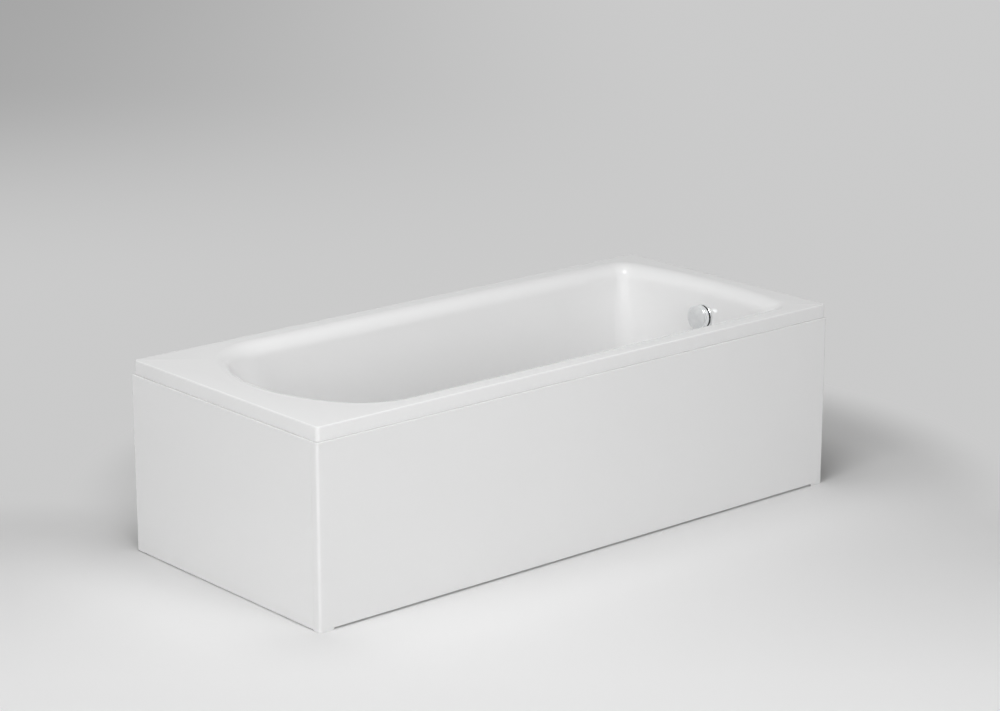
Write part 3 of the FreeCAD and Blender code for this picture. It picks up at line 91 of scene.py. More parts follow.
# %% [markdown]
# Every finish is a node material. It starts from a Principled shader with its plain numbers on the
# shader's own sockets. What changes over the surface comes from a few small groups, built once and
# shared. The nodes could be wired by hand in the editor, but a few helpers keep each finish down to some
# lines.

# %% Helpers for finishes
def feed(tree, socket, value):
    """Links a value that comes from a node, or writes a plain one on the socket."""
    if isinstance(value, bpy.types.NodeSocket):
        tree.links.new(value, socket)
    else:
        socket.default_value = value


def add(tree, kind, values=None, **settings):
    node = tree.nodes.new(f"ShaderNode{kind}")
    for key, value in settings.items():
        setattr(node, key, value)
    for key, value in (values or {}).items():
        feed(tree, node.inputs[key], value)
    return node


def math_node(tree, operation, one, other=0.0):
    return add(tree, "Math", {0: one, 1: other}, operation=operation).outputs[0]


def span(tree, value, low, high, to_low=0.0, to_high=1.0, curve="LINEAR"):
    sockets = {"Value": value, "From Min": low, "From Max": high, "To Min": to_low, "To Max": to_high}
    return add(tree, "MapRange", sockets, interpolation_type=curve).outputs["Result"]


def mix_value(tree, share, one, other):
    return add(tree, "Mix", {0: share, 2: one, 3: other}).outputs[0]


def mix_colour(tree, share, one, other, blend="MIX"):
    node = add(tree, "Mix", {0: share, 6: one, 7: other}, data_type="RGBA", blend_type=blend)
    return node.outputs[2]


def object_place(tree):
    return add(tree, "TexCoord").outputs["Object"]


def mapped(tree, place, **values):
    return add(tree, "Mapping", {"Vector": place, **values}).outputs["Vector"]


def noise(tree, place, size, detail, **more):
    """A noise whose patches are about as wide as the size, in metres."""
    scale = math_node(tree, "DIVIDE", 1.0, size)
    return add(tree, "TexNoise", {"Vector": place, "Scale": scale, "Detail": detail, **more}).outputs["Fac"]


def shader_group(name, inputs, outputs):
    """A new group, the sockets that it is given and the sockets for its result."""
    tree = bpy.data.node_groups.new(name, "ShaderNodeTree")
    for label, kind, value in inputs:
        socket = tree.interface.new_socket(label, in_out="INPUT", socket_type=f"NodeSocket{kind}")
        socket.default_value = value
    for label, kind in outputs:
        tree.interface.new_socket(label, in_out="OUTPUT", socket_type=f"NodeSocket{kind}")
    return tree, tree.nodes.new("NodeGroupInput").outputs, tree.nodes.new("NodeGroupOutput").inputs


WHITE, BLACK = (1.0, 1.0, 1.0, 1.0), (0.0, 0.0, 0.0, 1.0)
print("helpers for finishes are ready")

# %% [markdown]
# No real surface has quite one colour. A picture could show that, but a noise in Object coordinates needs
# no picture and has no seams. This group wanders slowly between two colours, and in step between two
# values, which finishes use for roughness.

# %% Group: slow wander between two colours
wander, given, result = shader_group(
    "slow_wander",
    [("Size", "Float", 0.2), ("One", "Color", WHITE), ("Other", "Color", WHITE), ("Low", "Float", 0.0),
     ("High", "Float", 1.0)],
    [("Colour", "Color"), ("Value", "Float")])
cloud = noise(wander, object_place(wander), given["Size"], 4.0, Roughness=0.55)
share = span(wander, cloud, 0.2, 0.8, curve="SMOOTHERSTEP")
feed(wander, result["Colour"], mix_colour(wander, share, given["One"], given["Other"]))
feed(wander, result["Value"], span(wander, share, 0.0, 1.0, given["Low"], given["High"]))
print("group:", wander.name)

# %% [markdown]
# Light shows unevenness that is too small to see as shape: a long swell and a small grain. Modelling both
# would cost millions of faces, so they are only heights for a bump.

# %% Group: fine relief, a long swell under a small grain
relief, given, result = shader_group(
    "fine_relief", [("Swell", "Float", 0.05), ("Grain", "Float", 0.002), ("Grain share", "Float", 0.2)],
    [("Height", "Float")])
place = object_place(relief)
swell = noise(relief, place, given["Swell"], 1.0)
fine = math_node(relief, "MULTIPLY", noise(relief, place, given["Grain"], 3.0), given["Grain share"])
feed(relief, result["Height"], math_node(relief, "ADD", swell, fine))
print("group:", relief.name)

# %% [markdown]
# Edges rub bare first. The Bevel node gives a rounded normal, and where that differs from the true one
# there is an edge. A mask could be painted instead, but this one finds the edges of any piece. A noise
# breaks it into patches, so that the wear doesn't look like an outline.

# %% Group: edges that rub bare
wear, given, result = shader_group(
    "rubbed_edges", [("Reach", "Float", 0.0015), ("Patch", "Float", 0.02)], [("Mask", "Float")])
round_normal = add(wear, "Bevel", {"Radius": given["Reach"]}, samples=6).outputs["Normal"]
true_normal = add(wear, "NewGeometry").outputs["Normal"]
facing = add(wear, "VectorMath", {0: round_normal, 1: true_normal}, operation="DOT_PRODUCT").outputs["Value"]
edge = span(wear, facing, 0.99, 0.80)
patchy = span(wear, noise(wear, object_place(wear), given["Patch"], 4.0), 0.42, 0.62)
feed(wear, result["Mask"], math_node(wear, "MULTIPLY", edge, patchy))
print("group:", wear.name)

# %% [markdown]
# A finish is a material with its plain numbers, its groups and its bump. Each could be written out in
# full, but they all start alike, so a small class holds what they share. The colours start from those of
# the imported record.

# %% A finish with its plain numbers, its bump, and places for its groups
class Finish:
    def __init__(self, name, colour, roughness, metallic=0.0, **sockets):
        self.material = bpy.data.materials.new(name)
        self.material.use_nodes = True
        self.material.diffuse_color = (*colour, 1.0)
        self.tree = self.material.node_tree
        self.shader = self.tree.nodes["Principled BSDF"]
        self.set("Base Color", (*colour, 1.0))
        self.set("Roughness", roughness)
        self.set("Metallic", metallic)
        for label, value in sockets.items():
            self.set(label.replace("_", " "), value)

    def set(self, label, value):
        feed(self.tree, self.shader.inputs[label], value)

    def group(self, tree, **values):
        node = self.tree.nodes.new("ShaderNodeGroup")
        node.node_tree = tree
        for label, value in values.items():
            feed(self.tree, node.inputs[label.replace("_", " ")], value)
        return node.outputs

    def bump(self, height, distance):
        node = add(self.tree, "Bump", {"Height": height, "Distance": distance, "Strength": 1.0})
        self.set("Normal", node.outputs["Normal"])


def tint(colour, factor):
    return (*(min(1.0, channel * factor) for channel in colour), 1.0)


COLOUR_OF = {slot["slot"]: tuple(slot["base_color"]) for slot in frame["record"]["materials"]}
print("slots:", ", ".join(COLOUR_OF))

# %% [markdown]
# Acrylic sheet is drawn over a mould and polished. Its colour is nearly even, but its surface swells by a
# few hundredths of a millimetre over some centimetres, and that bends the reflections a little. A plain
# white would look like paper from close by. So the colour wanders by less than one percent, the roughness
# a little more, and the bump is long and very shallow.

# %% Finish: bath and panel acrylic
def acrylic(slot, roughness, swell):
    colour = COLOUR_OF[slot]
    finish = Finish(slot, colour, roughness, IOR=1.49, Coat_Weight=0.25, Coat_Roughness=0.06)
    tone = finish.group(wander, Size=0.35, One=tint(colour, 1.004), Other=tint(colour, 0.996),
                        Low=roughness * 0.9, High=roughness * 1.1)
    finish.set("Base Color", tone["Colour"])
    finish.set("Roughness", tone["Value"])
    height = finish.group(relief, Swell=swell, Grain=0.0012, Grain_share=0.004)
    finish.bump(height["Height"], 0.0002)
    return finish.material


bath_acrylic = acrylic("bath_acrylic", roughness=0.16, swell=0.12)
panel_acrylic = acrylic("panel_acrylic", roughness=0.24, swell=0.16)
print("made", bath_acrylic.name, panel_acrylic.name)

# %% [markdown]
# The back of a bath shell isn't polished. Chopped glass strands in resin are sprayed on it to make it
# stiff, so it is matt, a little yellow, and its strands lie in all directions. Real strands as curves
# would be far too many. Three stretched noises, each turned another way, give the same look.

# %% Finish: strands and resin on the back of the shell
STRAND_TURNS = ((0.3, 0.5, 0.2), (0.9, -0.6, 1.3), (-0.7, 1.1, 2.4))
RESIN = (0.70, 0.68, 0.60)

strands, given, result = shader_group(
    "loose_strands", [("Width", "Float", 0.0015), ("Stretch", "Float", 0.06)], [("Mask", "Float")])
place = object_place(strands)
stretch = add(strands, "CombineXYZ", {"X": given["Stretch"], "Y": 1.0, "Z": 1.0}).outputs["Vector"]
mask = 0.0
for turn in STRAND_TURNS:
    turned = mapped(strands, place, Rotation=turn)
    pulled = add(strands, "VectorMath", {0: turned, 1: stretch}, operation="MULTIPLY").outputs["Vector"]
    layer = span(strands, noise(strands, pulled, given["Width"], 1.0), 0.54, 0.66)
    mask = math_node(strands, "MAXIMUM", layer, mask)
feed(strands, result["Mask"], mask)

backing = Finish("strand_backing", RESIN, 0.55)
mask = backing.group(strands, Width=0.0016, Stretch=0.05)["Mask"]
tone = backing.group(wander, Size=0.12, One=tint(RESIN, 1.06), Other=tint(RESIN, 0.88))
backing.set("Base Color", mix_colour(backing.tree, mask, tone["Colour"], tint(RESIN, 1.15)))
backing.set("Roughness", span(backing.tree, mask, 0.0, 1.0, 0.48, 0.70))
backing.bump(mask, 0.0005)
print("made", backing.material.name)

# %% [markdown]
# The floor is one pale sheet that runs far back and takes the shadow of the bath. Behind the bath the
# camera sees a grey studio wall, lit by itself. A real wall would get in the way of other views. So the
# wall is only a glow in the far part of the floor, past the bath's shadow. It is shown to the camera and
# to reflections only, and adds no light to the bath.

# %% Floor sheet
STUDIO_HALF, STUDIO_HEIGHT = 60.0, -0.0003


def flat_sheet(name, half, height):
    mesh = bpy.data.meshes.new(name)
    corners = [(-half, -half, height), (half, -half, height), (half, half, height), (-half, half, height)]
    mesh.from_pydata(corners, [], [(0, 1, 2, 3)])
    piece = bpy.data.objects.new(name, mesh)
    bpy.context.collection.objects.link(piece)
    return piece


floor = flat_sheet("studio_floor", STUDIO_HALF, STUDIO_HEIGHT)
print("floor:", floor.dimensions.x, "m wide")

# %% [markdown]
# The floor's own axes are turned so that one runs straight away from the camera. Along it the paper's
# colour gets darker towards the bath, which is a painted pool of light in front of it, and then the glow
# takes over with soft ends. The glow is darkest in the far corner at the left.

# %% Finish: floor with a painted pool of light in front and a glow at the back
# The near and far paper colours paint a pool of light: brighter in front, darker towards the bath.
PAINTED_POOL_NEAR, PAINTED_POOL_FAR = 0.86, 0.79
WALL_GREY, CORNER_GREY = 0.595, 0.38
PAINTED_POOL_DEPTHS, WALL_DEPTHS = (-1.1, -0.3), (-0.2, 0.15)
CORNER_DEPTHS, CORNER_SIDES = (2.2, 6.5), (-1.2, 3.2)
SHADOW_MIDDLE, SHADOW_REACH = (0.25, -0.15, 0.0), (1.0, 1.3)


def ease(tree, value, low, high):
    return span(tree, value, low, high, curve="SMOOTHSTEP")


def grey_colour(tree, value):
    return add(tree, "CombineColor", {0: value, 1: value, 2: value}).outputs["Color"]


def shown_rays(tree):
    rays = add(tree, "LightPath").outputs
    seen = math_node(tree, "MAXIMUM", rays["Is Camera Ray"], rays["Is Glossy Ray"])
    return math_node(tree, "MAXIMUM", seen, rays["Is Transmission Ray"])


studio = Finish("studio_floor", (0.80, 0.80, 0.80), 0.85, Specular_IOR_Level=0.1)
tree = studio.tree
away = mapped(tree, object_place(tree), Rotation=(0.0, 0.0, math.radians(-90.0 - CAMERA_TURN)))
axes = add(tree, "SeparateXYZ", {"Vector": away}).outputs
depth, side = axes["X"], axes["Y"]
# Painted light: the floor's colour is brighter in front of the bath and darker towards it.
studio.set("Base Color", grey_colour(tree, span(tree, depth, *PAINTED_POOL_DEPTHS, PAINTED_POOL_NEAR, PAINTED_POOL_FAR)))
corner = math_node(tree, "MULTIPLY", ease(tree, depth, *CORNER_DEPTHS), ease(tree, side, *CORNER_SIDES))
grey = span(tree, corner, 0.0, 1.0, WALL_GREY, CORNER_GREY)
glow = add(tree, "Emission", {"Color": grey_colour(tree, grey)}).outputs["Emission"]
reach = add(tree, "VectorMath", {0: away, 1: SHADOW_MIDDLE}, operation="DISTANCE").outputs["Value"]
past_bath = math_node(tree, "MULTIPLY", ease(tree, depth, *WALL_DEPTHS), ease(tree, reach, *SHADOW_REACH))
share = math_node(tree, "MULTIPLY", past_bath, shown_rays(tree))
both = add(tree, "MixShader", {0: share, 1: studio.shader.outputs["BSDF"], 2: glow}).outputs["Shader"]
tree.links.new(both, tree.nodes["Material Output"].inputs["Surface"])
floor.data.materials.append(studio.material)
print("made", studio.material.name)

# %% [markdown]
# The photograph has a dark, soft shadow at each end of the bath and only a faint one in front. So the
# lamps stand at the head end, in front and overhead, and the sky is dim, because a bright sky would fill
# those shadows. The broad lamp overhead is partly hidden from the floor by the front panel, which gives
# the faint shadow there. Each lamp's power was worked out from the brightness that it alone gives. A low
# lamp behind lights the back for other views. Only the high lamp shows in reflections, because the
# photograph has one bright dot only.

# %% Sky
SKY_GREY, SKY_STRENGTH, HAZE_GREY = (0.57, 0.57, 0.57, 1.0), 0.06, (0.74, 0.74, 0.74, 1.0)

world = bpy.data.worlds.new("studio_sky")
world.use_nodes = True
tree = world.node_tree
sky = tree.nodes["Background"]
sky.inputs["Color"].default_value = SKY_GREY
sky.inputs["Strength"].default_value = SKY_STRENGTH
haze = add(tree, "Background", {"Color": HAZE_GREY, "Strength": 1.0})
seen = add(tree, "MixShader", {0: shown_rays(tree), 1: sky.outputs["Background"],
                               2: haze.outputs["Background"]})
tree.links.new(seen.outputs["Shader"], tree.nodes["World Output"].inputs["Surface"])
bpy.context.scene.world = world
print("sky strength:", SKY_STRENGTH)

# %% Lamps
AIM = Vector((0.0, 0.0, 0.3))
HIGH_LAMP = ("high_lamp", (-2.0, -1.6, 4.2), 2.2, 74.0)
FILLS = (("top_fill", (-0.2, 0.1, 4.0), 2.5, 44.0), ("head_fill", (-5.0, -0.6, 1.4), 2.4, 73.0),
         ("front_fill", (-0.2, -4.8, 2.0), 2.4, 86.0), ("back_fill", (2.8, 3.8, 0.42), 0.8, 20.0))


def lamp(name, place, size, power):
    light = bpy.data.lights.new(name, "AREA")
    light.shape = "DISK"
    light.size = size
    light.energy = power
    piece = bpy.data.objects.new(name, light)
    piece.location = place
    piece.rotation_euler = (AIM - Vector(place)).to_track_quat("-Z", "Y").to_euler()
    bpy.context.collection.objects.link(piece)
    return piece


lamp(*HIGH_LAMP)
for fill in FILLS:
    piece = lamp(*fill)
    piece.visible_glossy = False
    piece.visible_camera = False
print("lamps:", 1 + len(FILLS))

# %% [markdown]
# The bath is one moulded shell. At every height its plan has straight sides, a bowed wall at each end and
# a round corner between them, and each of those grows in step from the floor to the rim. So the wall is a
# rule, and a ring of points can be worked out at any height. The rounded floor and the rolled edge are
# arcs that touch the wall, found from how far the wall leans at each point. Working from the rule keeps
# the reflections clean, which a mesh of loose triangles can't.

# %% Sizes of the shell, in metres
MIDDLE = Vector((0.003, 0.003, 0.0))
LENGTH, WIDTH, TOP, FLOOR, WALL = 1.700, 0.750, 0.500, 0.140, 0.006
SIDE_DECK, HEAD_DECK, DRAIN_DECK = 0.075, 0.104, 0.075
SIDE_LEAN, HEAD_LEAN, DRAIN_LEAN = 0.044, 0.228, 0.031
HEAD_CORNERS, DRAIN_CORNERS = (0.140, 0.150), (0.070, 0.026)
HEAD_BOW, DRAIN_BOW = math.radians(33.0), math.radians(12.0)
ROLL, FLOOR_ROUND = 0.042, 0.060
QUARTER = math.pi / 2
print("basin depth:", TOP - FLOOR)

# %% One ring of the basin at a height, with the direction that each point faces
EDGE_STEPS = (44, 18, 48, 18, 44, 28, 56, 28)


def basin_ring(height, bottom, grow):
    share = (height - bottom) / (TOP - bottom)
    half = WIDTH / 2 - SIDE_DECK + grow - SIDE_LEAN * (1 - share)
    head = HEAD_DECK - LENGTH / 2 - grow + HEAD_LEAN * (1 - share)
    drain = LENGTH / 2 - DRAIN_DECK + grow - DRAIN_LEAN * (1 - share)
    head_corner = HEAD_CORNERS[0] + (HEAD_CORNERS[1] - HEAD_CORNERS[0]) * share + grow
    drain_corner = DRAIN_CORNERS[0] + (DRAIN_CORNERS[1] - DRAIN_CORNERS[0]) * share + grow
    head_radius = head_corner + (half - head_corner) / math.sin(HEAD_BOW)
    drain_radius = drain_corner + (half - drain_corner) / math.sin(DRAIN_BOW)
    head_x = head + head_radius - (head_radius - head_corner) * math.cos(HEAD_BOW)
    drain_x = drain - drain_radius + (drain_radius - drain_corner) * math.cos(DRAIN_BOW)
    edges = (
        ((head_x, -half), (drain_x, -half)),
        (drain_x, drain_corner - half, drain_corner, -QUARTER, -DRAIN_BOW),
        (drain - drain_radius, 0.0, drain_radius, -DRAIN_BOW, DRAIN_BOW),
        (drain_x, half - drain_corner, drain_corner, DRAIN_BOW, QUARTER),
        ((drain_x, half), (head_x, half)),
        (head_x, half - head_corner, head_corner, QUARTER, math.pi - HEAD_BOW),
        (head + head_radius, 0.0, head_radius, math.pi - HEAD_BOW, math.pi + HEAD_BOW),
        (head_x, head_corner - half, head_corner, math.pi + HEAD_BOW, math.pi + QUARTER),
    )
    ring = []
    for edge, steps in zip(edges, EDGE_STEPS):
        for step in range(steps):
            along = step / steps
            if len(edge) == 2:
                start, end = Vector(edge[0]), Vector(edge[1])
                facing = Vector((0.0, -1.0)) if start.y < 0 else Vector((0.0, 1.0))
                ring.append((start.lerp(end, along), facing))
            else:
                x, y, radius, first, last = edge
                angle = first + (last - first) * along
                facing = Vector((math.cos(angle), math.sin(angle)))
                ring.append((Vector((x, y)) + facing * radius, facing))
    return ring


print("points in a ring:", sum(EDGE_STEPS))

# %% All rings of one side of the shell, from the floor's flat to the deck's flat
FLOOR_STEPS, ROLL_STEPS = 16, 12
WALL_LEVELS = (0.012, 0.1, 0.22, 0.34, 0.46, 0.58, 0.68, 0.74, 0.80, 0.86, 0.93, 0.985)


def basin_skin(bottom, grow, floor_round, deck, roll):
    walls = []
    for (start, facing), (end, _) in zip(basin_ring(bottom, bottom, grow), basin_ring(TOP, bottom, grow)):
        lean = math.atan((end - start).dot(facing) / (TOP - bottom))
        first = bottom + floor_round * (1 - math.sin(lean))
        last = deck - roll * (1 - math.sin(lean))
        walls.append((start, end, facing, lean, first, last))

    def on_wall(start, end, height):
        return start.lerp(end, (height - bottom) / (TOP - bottom))

    def floor_point(step, start, end, facing, lean, first, last):
        centre = on_wall(start, end, first) - facing * (floor_round * math.cos(lean))
        angle = (QUARTER - lean) * step / FLOOR_STEPS
        point = centre + facing * (floor_round * math.sin(angle))
        return (*point, bottom + floor_round * (1 - math.cos(angle)))

    def wall_point(level, start, end, facing, lean, first, last):
        height = first + (last - first) * level
        return (*on_wall(start, end, height), height)

    def roll_point(step, start, end, facing, lean, first, last):
        centre = on_wall(start, end, last) + facing * (roll * math.cos(lean))
        angle = lean + (QUARTER - lean) * step / ROLL_STEPS
        point = centre - facing * (roll * math.cos(angle))
        return (*point, deck - roll * (1 - math.sin(angle)))

    rings = [[floor_point(step, *wall) for wall in walls] for step in range(FLOOR_STEPS + 1)]
    rings += [[wall_point(level, *wall) for wall in walls] for level in WALL_LEVELS]
    rings += [[roll_point(step, *wall) for wall in walls] for step in range(ROLL_STEPS + 1)]
    return rings


inside = basin_skin(FLOOR, 0.0, FLOOR_ROUND, TOP, ROLL)
outside = basin_skin(FLOOR - WALL, WALL, FLOOR_ROUND + WALL, TOP - WALL, ROLL - WALL)
print("rings:", len(inside), "points in a ring:", len(inside[0]))

# %% [markdown]
# The rim turns down all round, and its upper edge is rounded where the sheet bends over the mould. It
# could be a box with a bevel, but then its faces wouldn't meet those of the deck. Rings of points do, and
# a round corner is a quarter circle in each of them.

# %% Rings of the rim
RIM_HEIGHT, RIM_CORNER, RIM_EDGE, RIM_LIP = 0.036, 0.010, 0.004, 0.0003
CORNER_STEPS, RIM_STEPS = 8, 6


def rim_ring(inset, height):
    radius = RIM_CORNER - inset
    half_x, half_y = LENGTH / 2 - inset - radius, WIDTH / 2 - inset - radius
    ring = []
    for i, (side_x, side_y) in enumerate(((1, -1), (1, 1), (-1, 1), (-1, -1))):
        for step in range(CORNER_STEPS + 1):
            angle = QUARTER * (i - 1 + step / CORNER_STEPS)
            x, y = side_x * half_x + radius * math.cos(angle), side_y * half_y + radius * math.sin(angle)
            ring.append((x, y, height))
    return ring


rim_outside = []
for step in range(RIM_STEPS + 1):
    angle = QUARTER * step / RIM_STEPS
    rim_outside.append(rim_ring(RIM_EDGE * (1 - math.sin(angle)), TOP - RIM_EDGE * (1 - math.cos(angle))))
rim_foot = TOP - RIM_HEIGHT
rim_outside += [rim_ring(0.0, rim_foot + RIM_LIP), rim_ring(RIM_LIP, rim_foot)]
rim_inside = [rim_ring(WALL - RIM_LIP, rim_foot), rim_ring(WALL, rim_foot + RIM_LIP),
              rim_ring(WALL, TOP - WALL)]
print("rim rings:", len(rim_outside) + len(rim_inside))

# %% [markdown]
# The waste flange lies in a round recess of the floor, so that water runs off. Under the recess the shell
# stands out by as much, as a collar, and a hole for the waste goes through. It could be cut out later,
# like the overflow's hole, but a recess by rings leaves clean edges. The rings run from the basin's floor
# down through the hole and back up outside.

# %% Rings of the waste
WASTE_FROM_END = 0.260
RECESS, RECESS_FLOOR, RECESS_EDGE = 0.039, 0.137, 0.0005
WASTE_HOLE, COLLAR, COLLAR_FOOT = 0.030, 0.045, 0.131
WASTE_STEPS = 72


def waste_ring(radius, height):
    middle = LENGTH / 2 - WASTE_FROM_END
    angles = [math.tau * step / WASTE_STEPS for step in range(WASTE_STEPS)]
    return [(middle + radius * math.cos(angle), radius * math.sin(angle), height) for angle in angles]


waste_rings = [waste_ring(RECESS + RECESS_EDGE, FLOOR), waste_ring(RECESS, FLOOR - RECESS_EDGE),
               waste_ring(RECESS, RECESS_FLOOR), waste_ring(WASTE_HOLE, RECESS_FLOOR),
               waste_ring(WASTE_HOLE, COLLAR_FOOT), waste_ring(COLLAR, COLLAR_FOOT),
               waste_ring(COLLAR, FLOOR - WALL)]
print("waste rings:", len(waste_rings))

# %% [markdown]
# Rings with the same number of points are bridged by four-sided faces. The deck and the floor lie between
# rings of unlike numbers, but they are flat, so triangles fill them with no harm to the reflections. All
# of it together is one closed skin, polished inside and rough behind.

# %% Join the rings into one closed shell
POLISHED, BACKING = 0, 1


def new_ring(build, ring):
    return [build.verts.new(Vector(point) + MIDDLE) for point in ring]


def bridge(build, rings, finish):
    for one, other in zip(rings, rings[1:]):
        count = len(one)
        for i in range(count):
            face = build.faces.new((one[i], one[(i + 1) % count], other[(i + 1) % count], other[i]))
            face.material_index = finish


def flat_between(build, one, other, finish):
    edges = []
    for ring in (one, other):
        for i in range(len(ring)):
            pair = (ring[i], ring[(i + 1) % len(ring)])
            edges.append(build.edges.get(pair) or build.edges.new(pair))
    made = bmesh.ops.triangle_fill(build, use_beauty=True, use_dissolve=False, edges=edges, normal=(0, 0, 1))
    for item in made["geom"]:
        if isinstance(item, bmesh.types.BMFace):
            item.material_index = finish


build = bmesh.new()
inner, outer, rim_out, rim_in, waste = (
    [new_ring(build, ring) for ring in rings]
    for rings in (inside, outside, rim_outside, rim_inside, waste_rings))
bridge(build, inner, POLISHED)
bridge(build, rim_out + rim_in[:1], POLISHED)
bridge(build, rim_in, BACKING)
bridge(build, outer, BACKING)
bridge(build, waste[:4], POLISHED)
bridge(build, waste[3:], BACKING)
flat_between(build, inner[-1], rim_out[0], POLISHED)
flat_between(build, inner[0], waste[0], POLISHED)
flat_between(build, outer[-1], rim_in[-1], BACKING)
flat_between(build, outer[0], waste[-1], BACKING)
bmesh.ops.recalc_face_normals(build, faces=build.faces)
open_edges = [edge for edge in build.edges if len(edge.link_faces) != 2]
print("shell faces:", len(build.faces), "open edges:", len(open_edges))
print("shell volume:", round(build.calc_volume(), 5))


# %% Helpers that turn a build into an object
def to_piece(name, build, *materials):
    mesh = bpy.data.meshes.new(name)
    build.to_mesh(mesh)
    build.free()
    for material in materials:
        mesh.materials.append(material)
    piece = bpy.data.objects.new(name, mesh)
    bpy.context.collection.objects.link(piece)
    return piece


def evaluated_mesh(piece):
    return bpy.data.meshes.new_from_object(piece.evaluated_get(bpy.context.evaluated_depsgraph_get()))


def settle(piece):
    """Turns the modifiers of a piece into plain mesh."""
    mesh = evaluated_mesh(piece)
    old = piece.data
    piece.modifiers.clear()
    piece.data = mesh
    mesh.name = piece.name
    bpy.data.meshes.remove(old)
    return piece


def smooth(piece, degrees):
    piece.data.shade_smooth()
    piece.data.set_sharp_from_angle(angle=math.radians(degrees))
    return piece


shell = to_piece("bath_shell", build, bath_acrylic, backing.material)
print("made", shell.name)

# %% [markdown]
# The overflow's hole goes square through the drain wall, which leans. Cutting it into the rings would
# spoil their order. So a round bar is placed on the wall, turned with its lean, and taken away from the
# shell.

# %% Drill the overflow hole
OVERFLOW_HEIGHT, OVERFLOW_HOLE, BORE_DEPTH = 0.403, 0.027, 0.05

drain_lean = math.atan2(DRAIN_LEAN, TOP - FLOOR)
OUT = Vector((-math.cos(drain_lean), 0.0, math.sin(drain_lean)))
UP_WALL = Vector((math.sin(drain_lean), 0.0, math.cos(drain_lean)))
wall_x = LENGTH / 2 - DRAIN_DECK - (TOP - OVERFLOW_HEIGHT) * math.tan(drain_lean)
OUT_OF_WALL = Matrix((UP_WALL, (0.0, 1.0, 0.0), OUT)).transposed().to_4x4()
OUT_OF_WALL.translation = Vector((wall_x, 0.0, OVERFLOW_HEIGHT)) + MIDDLE


def drill(piece, cutter):
    hole = piece.modifiers.new("hole", "BOOLEAN")
    hole.operation = "DIFFERENCE"
    hole.solver = "EXACT"
    hole.object = cutter
    settle(piece)
    cutter_mesh = cutter.data
    bpy.data.objects.remove(cutter)
    bpy.data.meshes.remove(cutter_mesh)


bar = bmesh.new()
bmesh.ops.create_cone(bar, cap_ends=True, segments=64, radius1=OVERFLOW_HOLE, radius2=OVERFLOW_HOLE,
                      depth=BORE_DEPTH, matrix=OUT_OF_WALL)
drill(shell, to_piece("overflow_bore", bar))
smooth(shell, degrees=32.0)
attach(shell, "bath")
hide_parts("tub_shell")
print("shell triangles:", sum(len(face.vertices) - 2 for face in shell.data.polygons))

# %% [markdown]
# Pine battens show their grain along their length, so their noise is squeezed along one axis. The base
# board is pressed from chips: cells of a Voronoi pattern, each with its own shade. Pictures of wood would
# repeat or show seams at the edges, and these patterns run through the piece as the real ones do.

# %% Groups: wood grain and pressed chips
grain, given, result = shader_group(
    "wood_grain", [("Vector", "Vector", (0, 0, 0)), ("Pale", "Color", WHITE), ("Dark", "Color", BLACK)],
    [("Colour", "Color"), ("Height", "Float")])
along = given["Vector"]
year_rings = add(grain, "TexNoise", {"Vector": along, "Scale": 90.0, "Detail": 3.0, "Distortion": 0.5})
fibres = add(grain, "TexNoise", {"Vector": along, "Scale": 700.0, "Detail": 4.0})
late = span(grain, year_rings.outputs["Fac"], 0.40, 0.62)
fuzz = math_node(grain, "MULTIPLY", fibres.outputs["Fac"], 0.5)
dark_rings = math_node(grain, "MULTIPLY", late, 0.7)
share = math_node(grain, "ADD", dark_rings, math_node(grain, "MULTIPLY", fuzz, 0.5))
feed(grain, result["Colour"], mix_colour(grain, share, given["Pale"], given["Dark"]))
feed(grain, result["Height"], math_node(grain, "ADD", math_node(grain, "MULTIPLY", late, 0.4), fuzz))

chips, given, result = shader_group(
    "pressed_chips", [("Size", "Float", 0.006), ("One", "Color", WHITE), ("Other", "Color", BLACK)],
    [("Colour", "Color"), ("Height", "Float")])
squeezed = mapped(chips, object_place(chips), Scale=(1.0, 0.55, 1.6))
scale = math_node(chips, "DIVIDE", 1.0, given["Size"])
cells = add(chips, "TexVoronoi", {"Vector": squeezed, "Scale": scale}).outputs
shade = add(chips, "SeparateColor", {"Color": cells["Color"]}).outputs["Red"]
feed(chips, result["Colour"], mix_colour(chips, shade, given["One"], given["Other"]))
feed(chips, result["Height"], cells["Distance"])
print("groups:", grain.name, chips.name)


# %% Finish: sawn pine and chipboard
def pine(name, axis):
    colour = COLOUR_OF["batten_wood"]
    finish = Finish(name, colour, 0.6, Specular_IOR_Level=0.3)
    scale = [1.0, 1.0, 1.0]
    scale[axis] = 0.045
    along = mapped(finish.tree, object_place(finish.tree), Scale=scale)
    look = finish.group(grain, Vector=along, Pale=tint(colour, 1.15), Dark=tint(colour, 0.62))
    finish.set("Base Color", look["Colour"])
    finish.bump(look["Height"], 0.0004)
    return finish.material


pine_long, pine_cross, pine_upright = pine("pine_long", 0), pine("pine_cross", 1), pine("pine_upright", 2)
board = COLOUR_OF["board_wood"]
chipboard = Finish("chipboard", board, 0.7, Specular_IOR_Level=0.25)
look = chipboard.group(chips, Size=0.0075, One=tint(board, 1.2), Other=tint(board, 0.7))
chipboard.set("Base Color", look["Colour"])
chipboard.bump(look["Height"], 0.0005)
print("made pine in three directions, and", chipboard.material.name)

# %% [markdown]
# Zinc on sheet steel grows in flat crystals, so the same chip pattern, larger and paler, gives its
# spangle. Its edges rub bare and shine. Chrome is smooth and even, with faint wipe marks in its
# roughness. Brass dulls in patches. One function makes all three, because they differ only in numbers.

